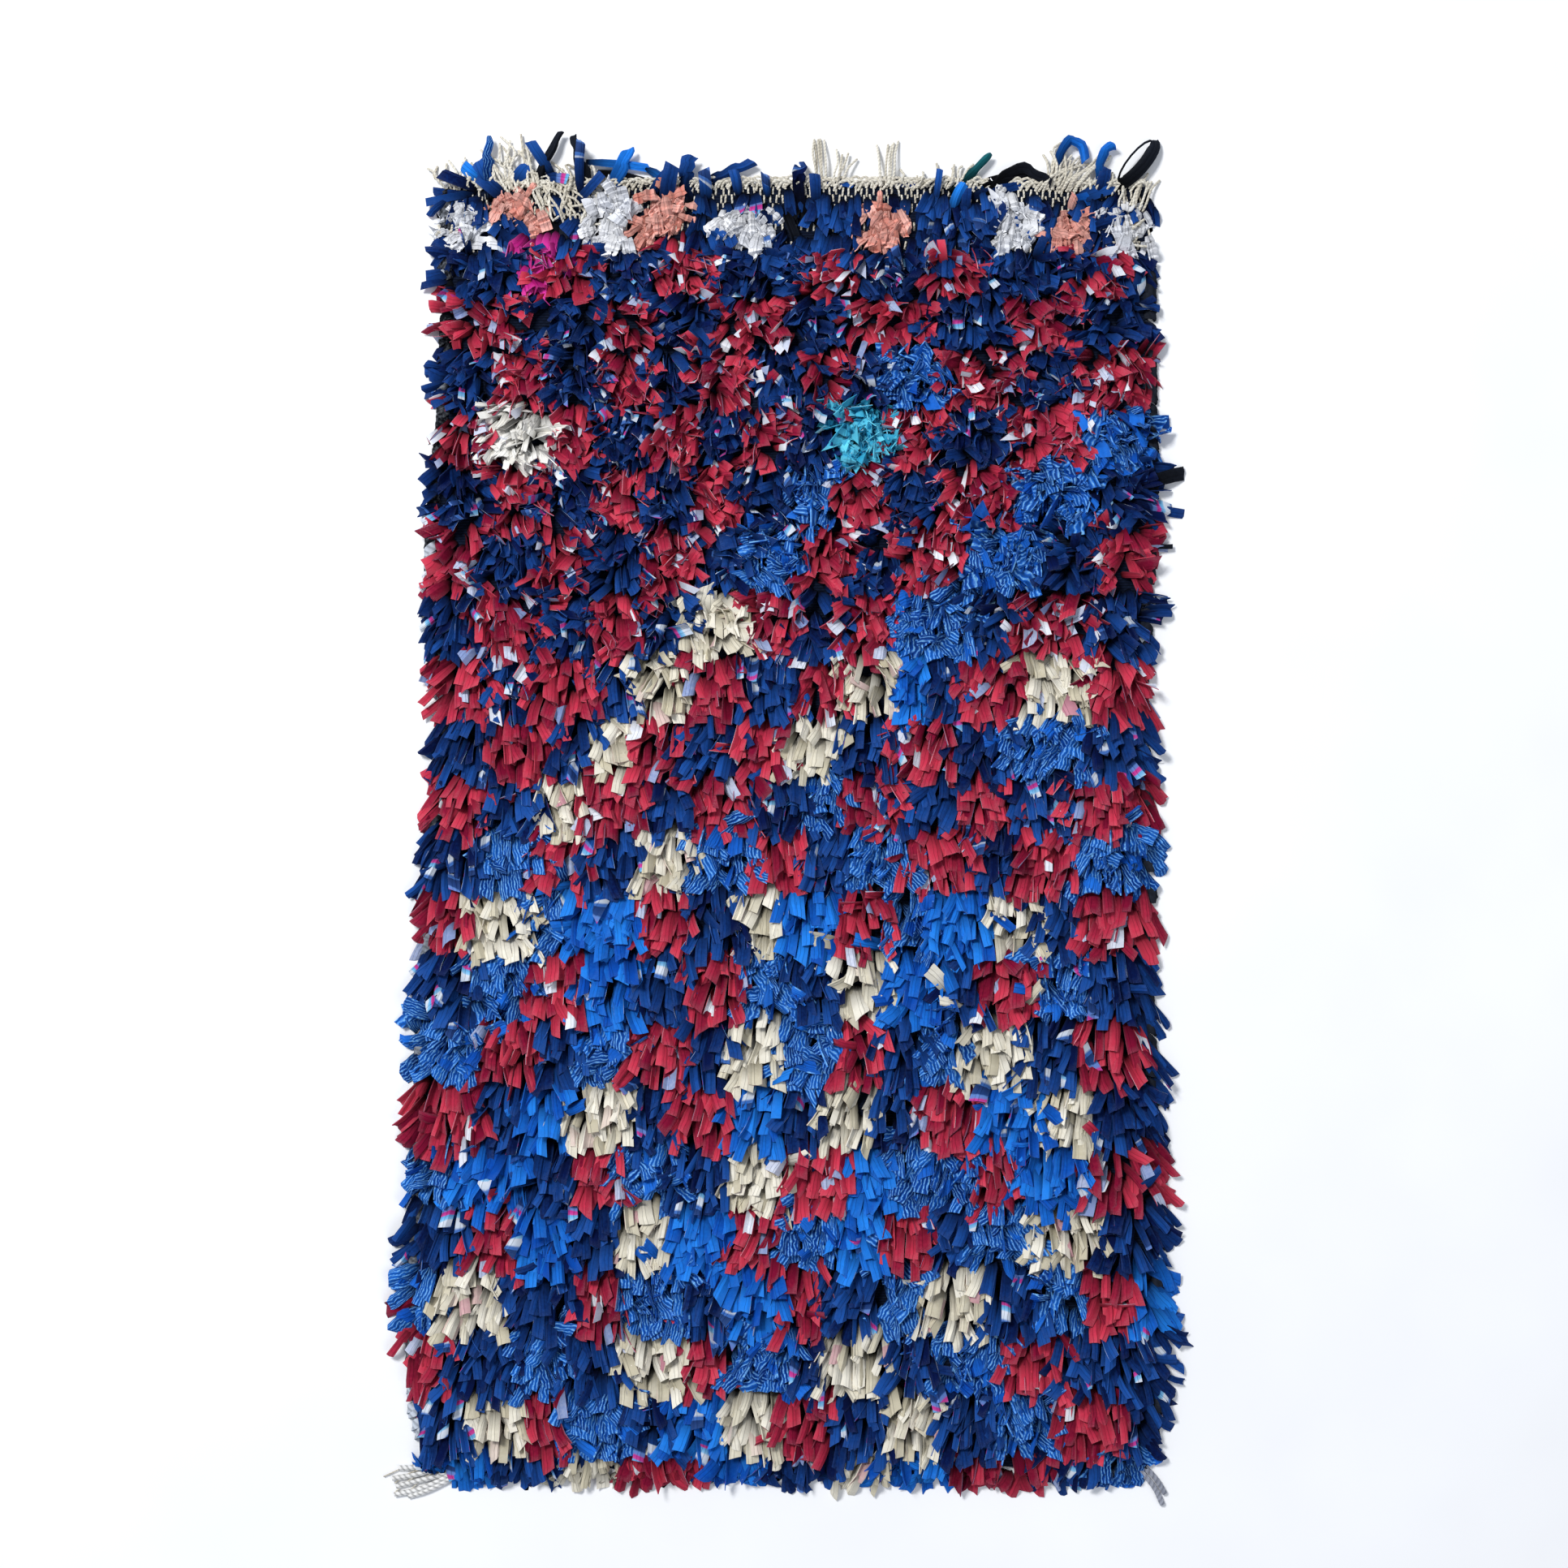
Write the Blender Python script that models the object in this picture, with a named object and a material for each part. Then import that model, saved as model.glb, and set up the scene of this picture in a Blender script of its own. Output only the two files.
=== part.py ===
"""A boucherouite rug: rag strips knotted on a woven ground, laid flat on the floor.

Metres, +Z up. The rug's length runs along Y, the fringed heading is at +Y, and the pile
faces up. The origin is at the bottom centre of everything built here.
"""

import math
from typing import NamedTuple

import bmesh
import bpy
from mathutils import Vector

# Ground cloth
CLOTH_THICKNESS = 0.004
HEADING_BOW = 0.005          # how far the heading bows out at its middle
HEM_SWAY = 0.004             # how far the lower edge wanders
HEM_SWAY_WAVES = 3.5
GAP = 0.0003                 # between pieces that touch

# Pile
PILE_HEIGHT = 0.040          # floor to the top of the pile
BAND_HEIGHT = 0.024          # the same in the thin band under the heading
BAND_DEPTH = 0.085
PILE_START = 0.017           # bare heading above the pile
PILE_HANG = 0.018            # how far the pile hangs past the lower edge
COURSE = 0.0795              # one row of colour blocks
BLOCK = 0.080                # one colour block, across
TROUGH = 0.006               # dip between two rows of blocks
DIMPLE = 0.004               # dip between two blocks of a row
SHOULDER = 0.045             # over which the pile rounds down at its edges
EDGE_HEIGHT = 0.014          # height of the pile at its outline

# Selvedges
SELVEDGE_WIDTH = 0.009
SELVEDGE_CHAMFER = 0.0012

# Fringe
FRINGE_PITCH = 0.0195
FRINGE_SPINE = 0.006
TASSEL_ROOT = 0.0105
TASSEL_TIP = 0.006
TASSEL_LEANS = (0.003, -0.005, 0.006, -0.002, 0.000, -0.006, 0.004)

# Mesh density
CLOTH_ROWS, CLOTH_COLUMNS = 40, 8
PILE_ROWS, PILE_COLUMNS = 60, 33
RAG_SECTIONS = 9


class Section(NamedTuple):
    """The rug's width at one place along its length."""
    down: float              # from the heading's edge
    left: float              # centre line to the cloth's left edge
    right: float             # centre line to the cloth's right edge
    pile_left: float         # pile past (+) or short of (-) the left edge
    pile_right: float        # the same at the right edge


SECTIONS = (
    Section(0.000, 0.422, 0.450, 0.014, 0.004),
    Section(0.075, 0.420, 0.449, -0.003, -0.004),
    Section(0.175, 0.422, 0.449, 0.005, -0.001),
    Section(0.255, 0.425, 0.450, 0.006, 0.004),
    Section(0.335, 0.432, 0.452, 0.006, 0.025),
    Section(0.415, 0.440, 0.450, 0.008, 0.021),
    Section(0.475, 0.442, 0.448, 0.006, 0.018),
    Section(0.545, 0.435, 0.444, 0.005, 0.024),
    Section(0.625, 0.425, 0.438, -0.003, 0.001),
    Section(0.695, 0.427, 0.442, 0.005, 0.007),
    Section(0.785, 0.438, 0.447, 0.008, 0.007),
    Section(0.875, 0.444, 0.450, 0.006, 0.014),
    Section(0.955, 0.446, 0.444, 0.004, 0.001),
    Section(1.065, 0.454, 0.450, 0.013, 0.022),
    Section(1.175, 0.455, 0.454, 0.008, 0.012),
    Section(1.275, 0.458, 0.458, 0.012, 0.018),
    Section(1.385, 0.465, 0.458, 0.020, 0.013),
    Section(1.435, 0.464, 0.460, 0.015, 0.022),
    Section(1.505, 0.462, 0.458, -0.004, 0.012),
    Section(1.565, 0.444, 0.448, 0.006, 0.012),
    Section(1.590, 0.412, 0.434, -0.004, 0.014),
)
CLOTH_LENGTH = SECTIONS[-1].down


class Tassels(NamedTuple):
    """One stretch of warp ends along the heading."""
    start: float             # across, from the centre line
    end: float
    reach: float             # past the heading's edge


TASSELS = (
    Tassels(-0.415, -0.370, 0.012),
    Tassels(-0.370, -0.318, 0.056),
    Tassels(-0.318, -0.250, 0.040),
    Tassels(-0.250, 0.030, 0.014),
    Tassels(0.030, 0.050, 0.060),
    Tassels(0.050, 0.070, 0.030),
    Tassels(0.070, 0.115, 0.014),
    Tassels(0.115, 0.135, 0.055),
    Tassels(0.135, 0.310, 0.017),
    Tassels(0.310, 0.380, 0.046),
    Tassels(0.380, 0.440, 0.020),
)


class Yarns(NamedTuple):
    """A spread of loose yarn ends at a corner of the rug."""
    name: str
    root: tuple              # middle of the spread where it leaves the cloth (across, down)
    root_width: float
    angle: float             # middle direction, degrees from +X
    spread: float            # degrees between the outer two yarns
    lengths: tuple
    yarn_width: float


CORNER_YARNS = (
    Yarns("corner_warps", (-0.4320, 1.5950), 0.030, 199.0, 20.0,
          (0.052, 0.060, 0.066, 0.062, 0.056), 0.0050),
    Yarns("corner_tail", (0.4420, 1.6010), 0.016, -48.0, 16.0, (0.044, 0.036), 0.0065),
)


class Rag(NamedTuple):
    """A rag strip that reaches past the heading: a band along a bent route."""
    name: str
    start: tuple             # across, up from the heading's edge, height
    bend: tuple
    tip: tuple
    width: float
    on_edge: bool            # standing on its edge, or lying flat


RAG_THICKNESS = 0.0025
RAGS = (
    Rag("rag_rib_upright", (-0.370, 0.004, 0.010), (-0.374, 0.034, 0.022),
        (-0.369, 0.064, 0.012), 0.014, False),
    Rag("rag_black_left", (-0.312, 0.006, 0.008), (-0.296, 0.040, 0.020),
        (-0.280, 0.069, 0.012), 0.008, False),
    Rag("rag_black_right", (-0.250, 0.004, 0.008), (-0.258, 0.036, 0.022),
        (-0.265, 0.064, 0.012), 0.013, False),
    Rag("rag_royal", (-0.215, 0.004, 0.008), (-0.205, 0.026, 0.020), (-0.197, 0.046, 0.014), 0.015, False),
    Rag("rag_navy_upright", (-0.126, 0.004, 0.010), (-0.127, 0.022, 0.024),
        (-0.121, 0.036, 0.016), 0.016, False),
    Rag("rag_navy_bit", (-0.092, 0.010, 0.009), (-0.070, 0.020, 0.016),
        (-0.044, 0.030, 0.012), 0.010, False),
    Rag("rag_printed_loop", (0.014, 0.003, 0.010), (0.012, 0.018, 0.024),
        (0.017, 0.026, 0.010), 0.013, False),
    Rag("rag_teal", (0.216, 0.006, 0.009), (0.236, 0.022, 0.018), (0.252, 0.042, 0.012), 0.007, False),
    Rag("rag_rope_arch", (0.262, 0.006, 0.012), (0.288, 0.040, 0.020), (0.326, 0.003, 0.012), 0.009, True),
    Rag("rag_blue_loop", (0.336, 0.030, 0.012), (0.352, 0.086, 0.018), (0.372, 0.034, 0.012), 0.007, True),
    Rag("rag_blue_curl", (0.389, 0.004, 0.010), (0.386, 0.052, 0.018), (0.404, 0.050, 0.014), 0.007, True),
)


class Loop(NamedTuple):
    """A rag knotted into a standing loop: a long drop outline with a hole in it."""
    foot: tuple              # across, up from the heading's edge
    length: float
    width: float             # across the drop, middle of band to middle of band
    angle: float             # from foot to far end, degrees from +X
    height: tuple            # lowest and highest point of the band


BLACK_LOOP = Loop((0.412, 0.006), 0.066, 0.019, 50.0, (0.006, 0.014))
LOOP_BAND = 0.0028
LOOP_POINTS = 28


class Finish(NamedTuple):
    """The plain colour of one kind of cloth or yarn, in linear red, green and blue."""
    colour: tuple
    roughness: float


FINISHES = {
    "ground_weave": Finish((0.035, 0.045, 0.070), 0.95),
    "white_cotton": Finish((0.640, 0.630, 0.590), 0.92),
    "black_rag": Finish((0.012, 0.013, 0.018), 0.90),
    "navy_jersey": Finish((0.012, 0.040, 0.150), 0.85),
    "royal_rib": Finish((0.018, 0.110, 0.420), 0.85),
    "grey_yarn": Finish((0.330, 0.320, 0.330), 0.95),
}


def material(name):
    """The named finish as a Principled material, made on first use."""
    found = bpy.data.materials.get(name)
    if found:
        return found
    made = bpy.data.materials.new(name)
    made.use_nodes = True
    shader = made.node_tree.nodes["Principled BSDF"]
    shader.inputs["Base Color"].default_value = (*FINISHES[name].colour, 1.0)
    shader.inputs["Roughness"].default_value = FINISHES[name].roughness
    shader.inputs["Metallic"].default_value = 0.0
    return made


def add_object(name, shape, finish):
    """Turns a bmesh into a named object with its finish."""
    bmesh.ops.recalc_face_normals(shape, faces=shape.faces)
    mesh = bpy.data.meshes.new(name)
    shape.to_mesh(mesh)
    shape.free()
    mesh.materials.append(material(finish))
    made = bpy.data.objects.new(name, mesh)
    bpy.context.scene.collection.objects.link(made)
    return made


def section_value(down, column):
    """One column of SECTIONS at a place along the rug, eased between two rows."""
    rows = SECTIONS
    if down <= rows[0].down:
        return getattr(rows[0], column)
    for upper, lower in zip(rows, rows[1:]):
        if down <= lower.down:
            share = (down - upper.down) / (lower.down - upper.down)
            share = share * share * (3.0 - 2.0 * share)
            return (1.0 - share) * getattr(upper, column) + share * getattr(lower, column)
    return getattr(rows[-1], column)


def heading_y(x):
    """The cloth's edge at the heading: a slight bow."""
    return HEADING_BOW * math.cos(math.pi * x / 0.9)


def hem_y(x):
    """The cloth's lower edge, a little uneven."""
    return -CLOTH_LENGTH - HEM_SWAY * math.sin(2.0 * math.pi * HEM_SWAY_WAVES * x / 0.9)


def ground_point(u, down, left_more=0.0, right_more=0.0):
    """A point of the ground: u runs 0 to 1 from its left edge to its right edge."""
    left = -section_value(down, "left") - left_more
    right = section_value(down, "right") + right_more
    x = left + u * (right - left)
    share = min(max(down / CLOTH_LENGTH, 0.0), 1.0)
    y = -down + (1.0 - share) * heading_y(x) + share * (hem_y(x) + CLOTH_LENGTH)
    return x, y


def plate(rows, bottom, top_heights):
    """A closed body: flat below, its upper face at a height for each grid point."""
    shape = bmesh.new()
    upper = [
        [shape.verts.new((x, y, z)) for (x, y), z in zip(row, heights)]
        for row, heights in zip(rows, top_heights)
    ]
    for near, far in zip(upper, upper[1:]):
        for a, b, c, d in zip(near, near[1:], far[1:], far):
            shape.faces.new((a, b, c, d))
    rim = (
        upper[0]
        + [row[-1] for row in upper[1:]]
        + list(reversed(upper[-1][:-1]))
        + [row[0] for row in reversed(upper[1:-1])]
    )
    foot = [shape.verts.new((v.co.x, v.co.y, bottom)) for v in rim]
    for i, vert in enumerate(rim):
        after = (i + 1) % len(rim)
        shape.faces.new((vert, rim[after], foot[after], foot[i]))
    shape.faces.new(foot)
    return shape


def extruded_outline(outline, bottom, top):
    """A flat outline given a thickness."""
    shape = bmesh.new()
    base = shape.faces.new([shape.verts.new((x, y, bottom)) for x, y in outline])
    lifted = bmesh.ops.extrude_face_region(shape, geom=[base])
    verts = [item for item in lifted["geom"] if isinstance(item, bmesh.types.BMVert)]
    bmesh.ops.translate(shape, verts=verts, vec=(0.0, 0.0, top - bottom))
    return shape


def build_foundation():
    """The woven ground cloth, with the outline in which it lies."""
    rows = []
    for r in range(CLOTH_ROWS + 1):
        down = CLOTH_LENGTH * r / CLOTH_ROWS
        rows.append([ground_point(c / CLOTH_COLUMNS, down) for c in range(CLOTH_COLUMNS + 1)])
    heights = [[CLOTH_THICKNESS] * (CLOTH_COLUMNS + 1) for _ in rows]
    return add_object("foundation", plate(rows, 0.0, heights), "ground_weave")


def pile_top(x, down, inset):
    """Height of the pile: soft blocks in staggered courses, rounded down at the edges."""
    course = down / COURSE
    dip = TROUGH * (0.5 - 0.5 * math.cos(2.0 * math.pi * course))
    stagger = 0.5 * (math.floor(course) % 2)
    dip += DIMPLE * (0.5 - 0.5 * math.cos(2.0 * math.pi * (x / BLOCK + stagger)))
    share = min(max((down - BAND_DEPTH) / SHOULDER + 0.5, 0.0), 1.0)
    full = BAND_HEIGHT + share * (PILE_HEIGHT - BAND_HEIGHT) - dip
    edge = min(max(inset / SHOULDER, 0.0), 1.0)
    return EDGE_HEIGHT + (full - EDGE_HEIGHT) * math.sqrt(1.0 - (1.0 - edge) ** 2)


def build_pile():
    """The pile of knotted rag strips as one body, as far out as its tips reach."""
    rows, heights = [], []
    pile_end = CLOTH_LENGTH + PILE_HANG
    for r in range(PILE_ROWS + 1):
        down = PILE_START + (pile_end - PILE_START) * r / PILE_ROWS
        overhangs = section_value(down, "pile_left"), section_value(down, "pile_right")
        row, tops = [], []
        for c in range(PILE_COLUMNS + 1):
            x, y = ground_point(c / PILE_COLUMNS, down, *overhangs)
            left = -section_value(down, "left") - overhangs[0]
            right = section_value(down, "right") + overhangs[1]
            inset = min(x - left, right - x, down - PILE_START, pile_end - down)
            row.append((x, y))
            tops.append(pile_top(x, down, inset))
        rows.append(row)
        heights.append(tops)
    return add_object("pile", plate(rows, CLOTH_THICKNESS + GAP, heights), "navy_jersey")


def build_selvedge(side, column, finish):
    """The wrapped cord along one side, beside the cloth's edge. side is -1 or 1."""
    shape = bmesh.new()
    inner, outer = GAP, GAP + SELVEDGE_WIDTH
    cut = SELVEDGE_CHAMFER
    profile = (
        (inner, 0.0), (outer - cut, 0.0), (outer, cut),
        (outer, CLOTH_THICKNESS - cut), (outer - cut, CLOTH_THICKNESS), (inner, CLOTH_THICKNESS),
    )
    rings = []
    for r in range(CLOTH_ROWS + 1):
        down = CLOTH_LENGTH * r / CLOTH_ROWS
        x, y = ground_point(0.0 if side < 0 else 1.0, down)
        rings.append([shape.verts.new((x + side * out, y, z)) for out, z in profile])
    for near, far in zip(rings, rings[1:]):
        for i in range(len(profile)):
            after = (i + 1) % len(profile)
            shape.faces.new((near[i], near[after], far[after], far[i]))
    shape.faces.new(rings[0])
    shape.faces.new(rings[-1])
    return add_object(f"selvedge_{column}", shape, finish)


def tassel_reach(x):
    """How far the warp ends reach past the heading at a place across it."""
    for stretch in TASSELS:
        if stretch.start <= x < stretch.end:
            return stretch.reach
    return TASSELS[-1].reach


def build_fringe():
    """The knotted warp ends as one comb along the heading."""
    first, last = TASSELS[0].start, TASSELS[-1].end
    count = int((last - first) / FRINGE_PITCH)
    lower, upper = [], []
    for i in range(count):
        x = first + (i + 0.5) * FRINGE_PITCH
        lean = TASSEL_LEANS[i % len(TASSEL_LEANS)]
        reach = tassel_reach(x)
        root, tip = 0.5 * TASSEL_ROOT, 0.5 * TASSEL_TIP
        base = heading_y(x) + GAP
        spine = base + FRINGE_SPINE
        upper += [
            (x - root, spine),
            (x + lean - tip, base + reach),
            (x + lean + tip, base + reach),
            (x + root, spine),
        ]
        lower += [(x - root, heading_y(x - root) + GAP), (x + root, heading_y(x + root) + GAP)]
    outline = upper + list(reversed(lower))
    return add_object("top_fringe", extruded_outline(outline, 0.0, CLOTH_THICKNESS), "white_cotton")


def build_corner_yarns(yarns, finish):
    """Loose yarn ends spread from a corner, joined where they leave the cloth."""
    middle = math.radians(yarns.angle)
    along = Vector((math.cos(middle), math.sin(middle)))
    beside = Vector((-along.y, along.x))
    root = Vector((yarns.root[0], -yarns.root[1]))
    count = len(yarns.lengths)
    knot = 0.35 * yarns.root_width
    outline = [root - beside * 0.5 * yarns.root_width]
    for i, length in enumerate(yarns.lengths):
        place = (i + 0.5) / count - 0.5
        turn = math.radians(yarns.spread * place)
        heading = Vector((
            along.x * math.cos(turn) - along.y * math.sin(turn),
            along.x * math.sin(turn) + along.y * math.cos(turn),
        ))
        across = Vector((-heading.y, heading.x))
        start = root + along * knot + beside * place * yarns.root_width
        half = 0.40 * yarns.root_width / count
        tip = 0.5 * yarns.yarn_width
        outline += [
            start - across * half,
            start + heading * length - across * tip,
            start + heading * length + across * tip,
            start + across * half,
        ]
    outline.append(root + beside * 0.5 * yarns.root_width)
    points = [(p.x, p.y) for p in outline]
    return add_object(yarns.name, extruded_outline(points, 0.0, CLOTH_THICKNESS), finish)


def curve_point(rag, t):
    """A point of the rag's bent route, from its start (t = 0) to its tip (t = 1)."""
    start, bend, tip = Vector(rag.start), Vector(rag.bend), Vector(rag.tip)
    return (1 - t) ** 2 * start + 2 * t * (1 - t) * bend + t * t * tip


def build_rag(rag, finish):
    """One rag strip past the heading: a band swept along its route."""
    shape = bmesh.new()
    rings = []
    for i in range(RAG_SECTIONS):
        t = i / (RAG_SECTIONS - 1)
        here = curve_point(rag, t)
        ahead = curve_point(rag, min(t + 0.01, 1.0)) - curve_point(rag, max(t - 0.01, 0.0))
        ahead = Vector((ahead.x, ahead.y, 0.0)).normalized()
        sideways = Vector((-ahead.y, ahead.x, 0.0))
        wide, thin = (Vector((0, 0, 1)), sideways) if rag.on_edge else (sideways, Vector((0, 0, 1)))
        wide, thin = wide * 0.5 * rag.width, thin * 0.5 * RAG_THICKNESS
        ring = [here + wide + thin, here - wide + thin, here - wide - thin, here + wide - thin]
        rings.append([shape.verts.new(p) for p in ring])
    for near, far in zip(rings, rings[1:]):
        for i in range(4):
            after = (i + 1) % 4
            shape.faces.new((near[i], near[after], far[after], far[i]))
    shape.faces.new(rings[0])
    shape.faces.new(rings[-1])
    return add_object(rag.name, shape, finish)


def build_loop(loop):
    """The black rag loop at the right end of the heading."""
    shape = bmesh.new()
    angle = math.radians(loop.angle)
    along = Vector((math.cos(angle), math.sin(angle)))
    beside = Vector((-along.y, along.x))
    foot = Vector(loop.foot)
    rings = []
    for i in range(LOOP_POINTS):
        turn = 2.0 * math.pi * i / LOOP_POINTS
        run = 0.5 - 0.5 * math.cos(turn)
        middle = foot + along * loop.length * run + beside * 0.5 * loop.width * math.sin(turn)
        ahead = along * loop.length * 0.5 * math.sin(turn)
        ahead += beside * 0.5 * loop.width * math.cos(turn)
        outward = Vector((ahead.y, -ahead.x)).normalized() * 0.5 * LOOP_BAND
        low, high = loop.height
        ring = [
            (middle + outward, low), (middle + outward, high),
            (middle - outward, high), (middle - outward, low),
        ]
        rings.append([shape.verts.new((p.x, p.y, z)) for p, z in ring])
    for i, near in enumerate(rings):
        far = rings[(i + 1) % LOOP_POINTS]
        for j in range(4):
            after = (j + 1) % 4
            shape.faces.new((near[j], near[after], far[after], far[j]))
    return add_object("rag_black_loop", shape, "black_rag")


def rag_finish(name):
    """The finish of a rag strip, by its name."""
    if "black" in name or "rope" in name:
        return "black_rag"
    return "royal_rib" if "rib" in name or "royal" in name or "blue" in name else "navy_jersey"


def centre(objects):
    """Moves everything so that the origin is at the bottom centre."""
    points = [v.co for made in objects for v in made.data.vertices]
    low = Vector([min(p[i] for p in points) for i in range(3)])
    high = Vector([max(p[i] for p in points) for i in range(3)])
    shift = Vector((-(low.x + high.x) / 2.0, -(low.y + high.y) / 2.0, -low.z))
    for made in objects:
        made.location = shift


def main():
    for old in list(bpy.data.objects):
        bpy.data.objects.remove(old, do_unlink=True)
    objects = [
        build_foundation(),
        build_pile(),
        build_selvedge(-1, "left", "grey_yarn"),
        build_selvedge(1, "right", "black_rag"),
        build_fringe(),
    ]
    objects += [
        build_corner_yarns(yarns, finish)
        for yarns, finish in zip(CORNER_YARNS, ("white_cotton", "grey_yarn"))
    ]
    objects += [build_rag(rag, rag_finish(rag.name)) for rag in RAGS]
    objects.append(build_loop(BLACK_LOOP))
    centre(objects)


main()
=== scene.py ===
"""A boucherouite rug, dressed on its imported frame.

Rag strips are knotted row by row from a weaver's chart, warp ends are left loose at the
heading and the corners, and everything lies flat on a plain floor. Metres, +Z up.
"""

import logging
import math
from dataclasses import dataclass, field
from enum import Enum

import bpy
import numpy as np
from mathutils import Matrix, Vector

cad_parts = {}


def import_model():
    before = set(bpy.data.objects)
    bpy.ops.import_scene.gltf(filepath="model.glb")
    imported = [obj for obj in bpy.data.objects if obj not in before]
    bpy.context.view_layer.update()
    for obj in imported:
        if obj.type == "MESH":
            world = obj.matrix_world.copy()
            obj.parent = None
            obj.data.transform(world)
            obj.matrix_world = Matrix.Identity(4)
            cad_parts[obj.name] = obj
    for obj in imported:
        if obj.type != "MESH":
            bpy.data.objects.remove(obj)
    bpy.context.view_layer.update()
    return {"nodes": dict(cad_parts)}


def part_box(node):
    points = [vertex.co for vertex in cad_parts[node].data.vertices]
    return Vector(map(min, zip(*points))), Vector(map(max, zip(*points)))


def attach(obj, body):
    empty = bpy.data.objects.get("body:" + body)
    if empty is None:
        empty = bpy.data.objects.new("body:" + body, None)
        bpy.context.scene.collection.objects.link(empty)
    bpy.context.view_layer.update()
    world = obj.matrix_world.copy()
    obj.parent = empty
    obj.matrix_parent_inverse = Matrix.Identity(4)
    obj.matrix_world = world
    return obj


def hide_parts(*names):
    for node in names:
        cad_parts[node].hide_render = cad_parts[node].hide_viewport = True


LOG = logging.getLogger("boucherouite_rug")
SEED = 1964
MM = 0.001
FULL_TURN = 2.0 * math.pi
FLOOR_GAP = 0.0006           # lowest that any strip lies
CEILING = 0.0492             # highest that any strip stands
CLOTH_GLOSS = 0.08
BUMP_STRENGTH = 0.8
CLOTH_LEFT = 0.465           # centre line to the cloth's furthest left
HEADING_BOW = 0.005          # how far the heading bows out at its middle
CLOTH_UV = "Cloth"           # millimetres across and along a strip
BAKE_UV = "OFBake"
DYE = "Dye"
CUT_EDGE = "CutEdge"
Colour = tuple[float, float, float, float]


def shade(code: str) -> Colour:
    """A linear colour from the six-digit code of a dyer's card.

    Args:
        code: red, green and blue as hexadecimal pairs.

    Returns:
        The colour as linear red, green, blue and alpha.
    """
    parts = [int(code[i:i + 2], 16) / 255.0 for i in (0, 2, 4)]
    linear = [p / 12.92 if p <= 0.04045 else ((p + 0.055) / 1.055) ** 2.4 for p in parts]
    return (linear[0], linear[1], linear[2], 1.0)


# ---------------------------------------------------------------- shader boards and groups


class Wire:
    """A value on a node board, which plain arithmetic works on."""

    def __init__(self, board: "Board", socket: bpy.types.NodeSocket) -> None:
        """Takes the board and the socket that gives the value."""
        self.board, self.socket = board, socket

    def __add__(self, other: "Wire | float") -> "Wire":
        """The sum."""
        return self.board.math("ADD", self, other)

    def __sub__(self, other: "Wire | float") -> "Wire":
        """The difference."""
        return self.board.math("SUBTRACT", self, other)

    def __rsub__(self, other: float) -> "Wire":
        """A number less this value."""
        return self.board.math("SUBTRACT", other, self)

    def __mul__(self, other: "Wire | float") -> "Wire":
        """The product."""
        return self.board.math("MULTIPLY", self, other)

    def __truediv__(self, other: "Wire | float") -> "Wire":
        """The quotient."""
        return self.board.math("DIVIDE", self, other)

    def __abs__(self) -> "Wire":
        """The value without its sign."""
        return self.board.math("ABSOLUTE", self)

    def apply(self, operation: str) -> "Wire":
        """One Math operation on this value alone."""
        return self.board.math(operation, self)

    def sine(self, waves: float = 1.0) -> "Wire":
        """A sine of so many waves for each step of one in this value."""
        return (self * (FULL_TURN * waves)).apply("SINE")

    def span(self, low: float, high: float, to_low: float = 0.0, to_high: float = 1.0) -> "Wire":
        """This value mapped from one span to another, held at its ends."""
        return self.board.value("ShaderNodeMapRange", "Result", {
            "Value": self, "From Min": low, "From Max": high, "To Min": to_low, "To Max": to_high})

    def noise(self, scale: float, detail: float = 2.0, rough: float = 0.5) -> "Wire":
        """The value of a noise texture at this vector."""
        return self.board.value("ShaderNodeTexNoise", "Fac", {
            "Vector": self, "Scale": scale, "Detail": detail, "Roughness": rough})

    def parts(self) -> list["Wire"]:
        """This vector's X, Y and Z."""
        return [Wire(self.board, out) for out in self.board.add("ShaderNodeSeparateXYZ", {0: self}).outputs]

    def darkened(self, share: "Wire") -> "Wire":
        """This colour multiplied by a share from 0 to 1."""
        grey = self.board.value("ShaderNodeCombineColor", 0, {0: share, 1: share, 2: share})
        return self.board.mix(1.0, self, grey, "MULTIPLY")


Value = Wire | float | Colour


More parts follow.
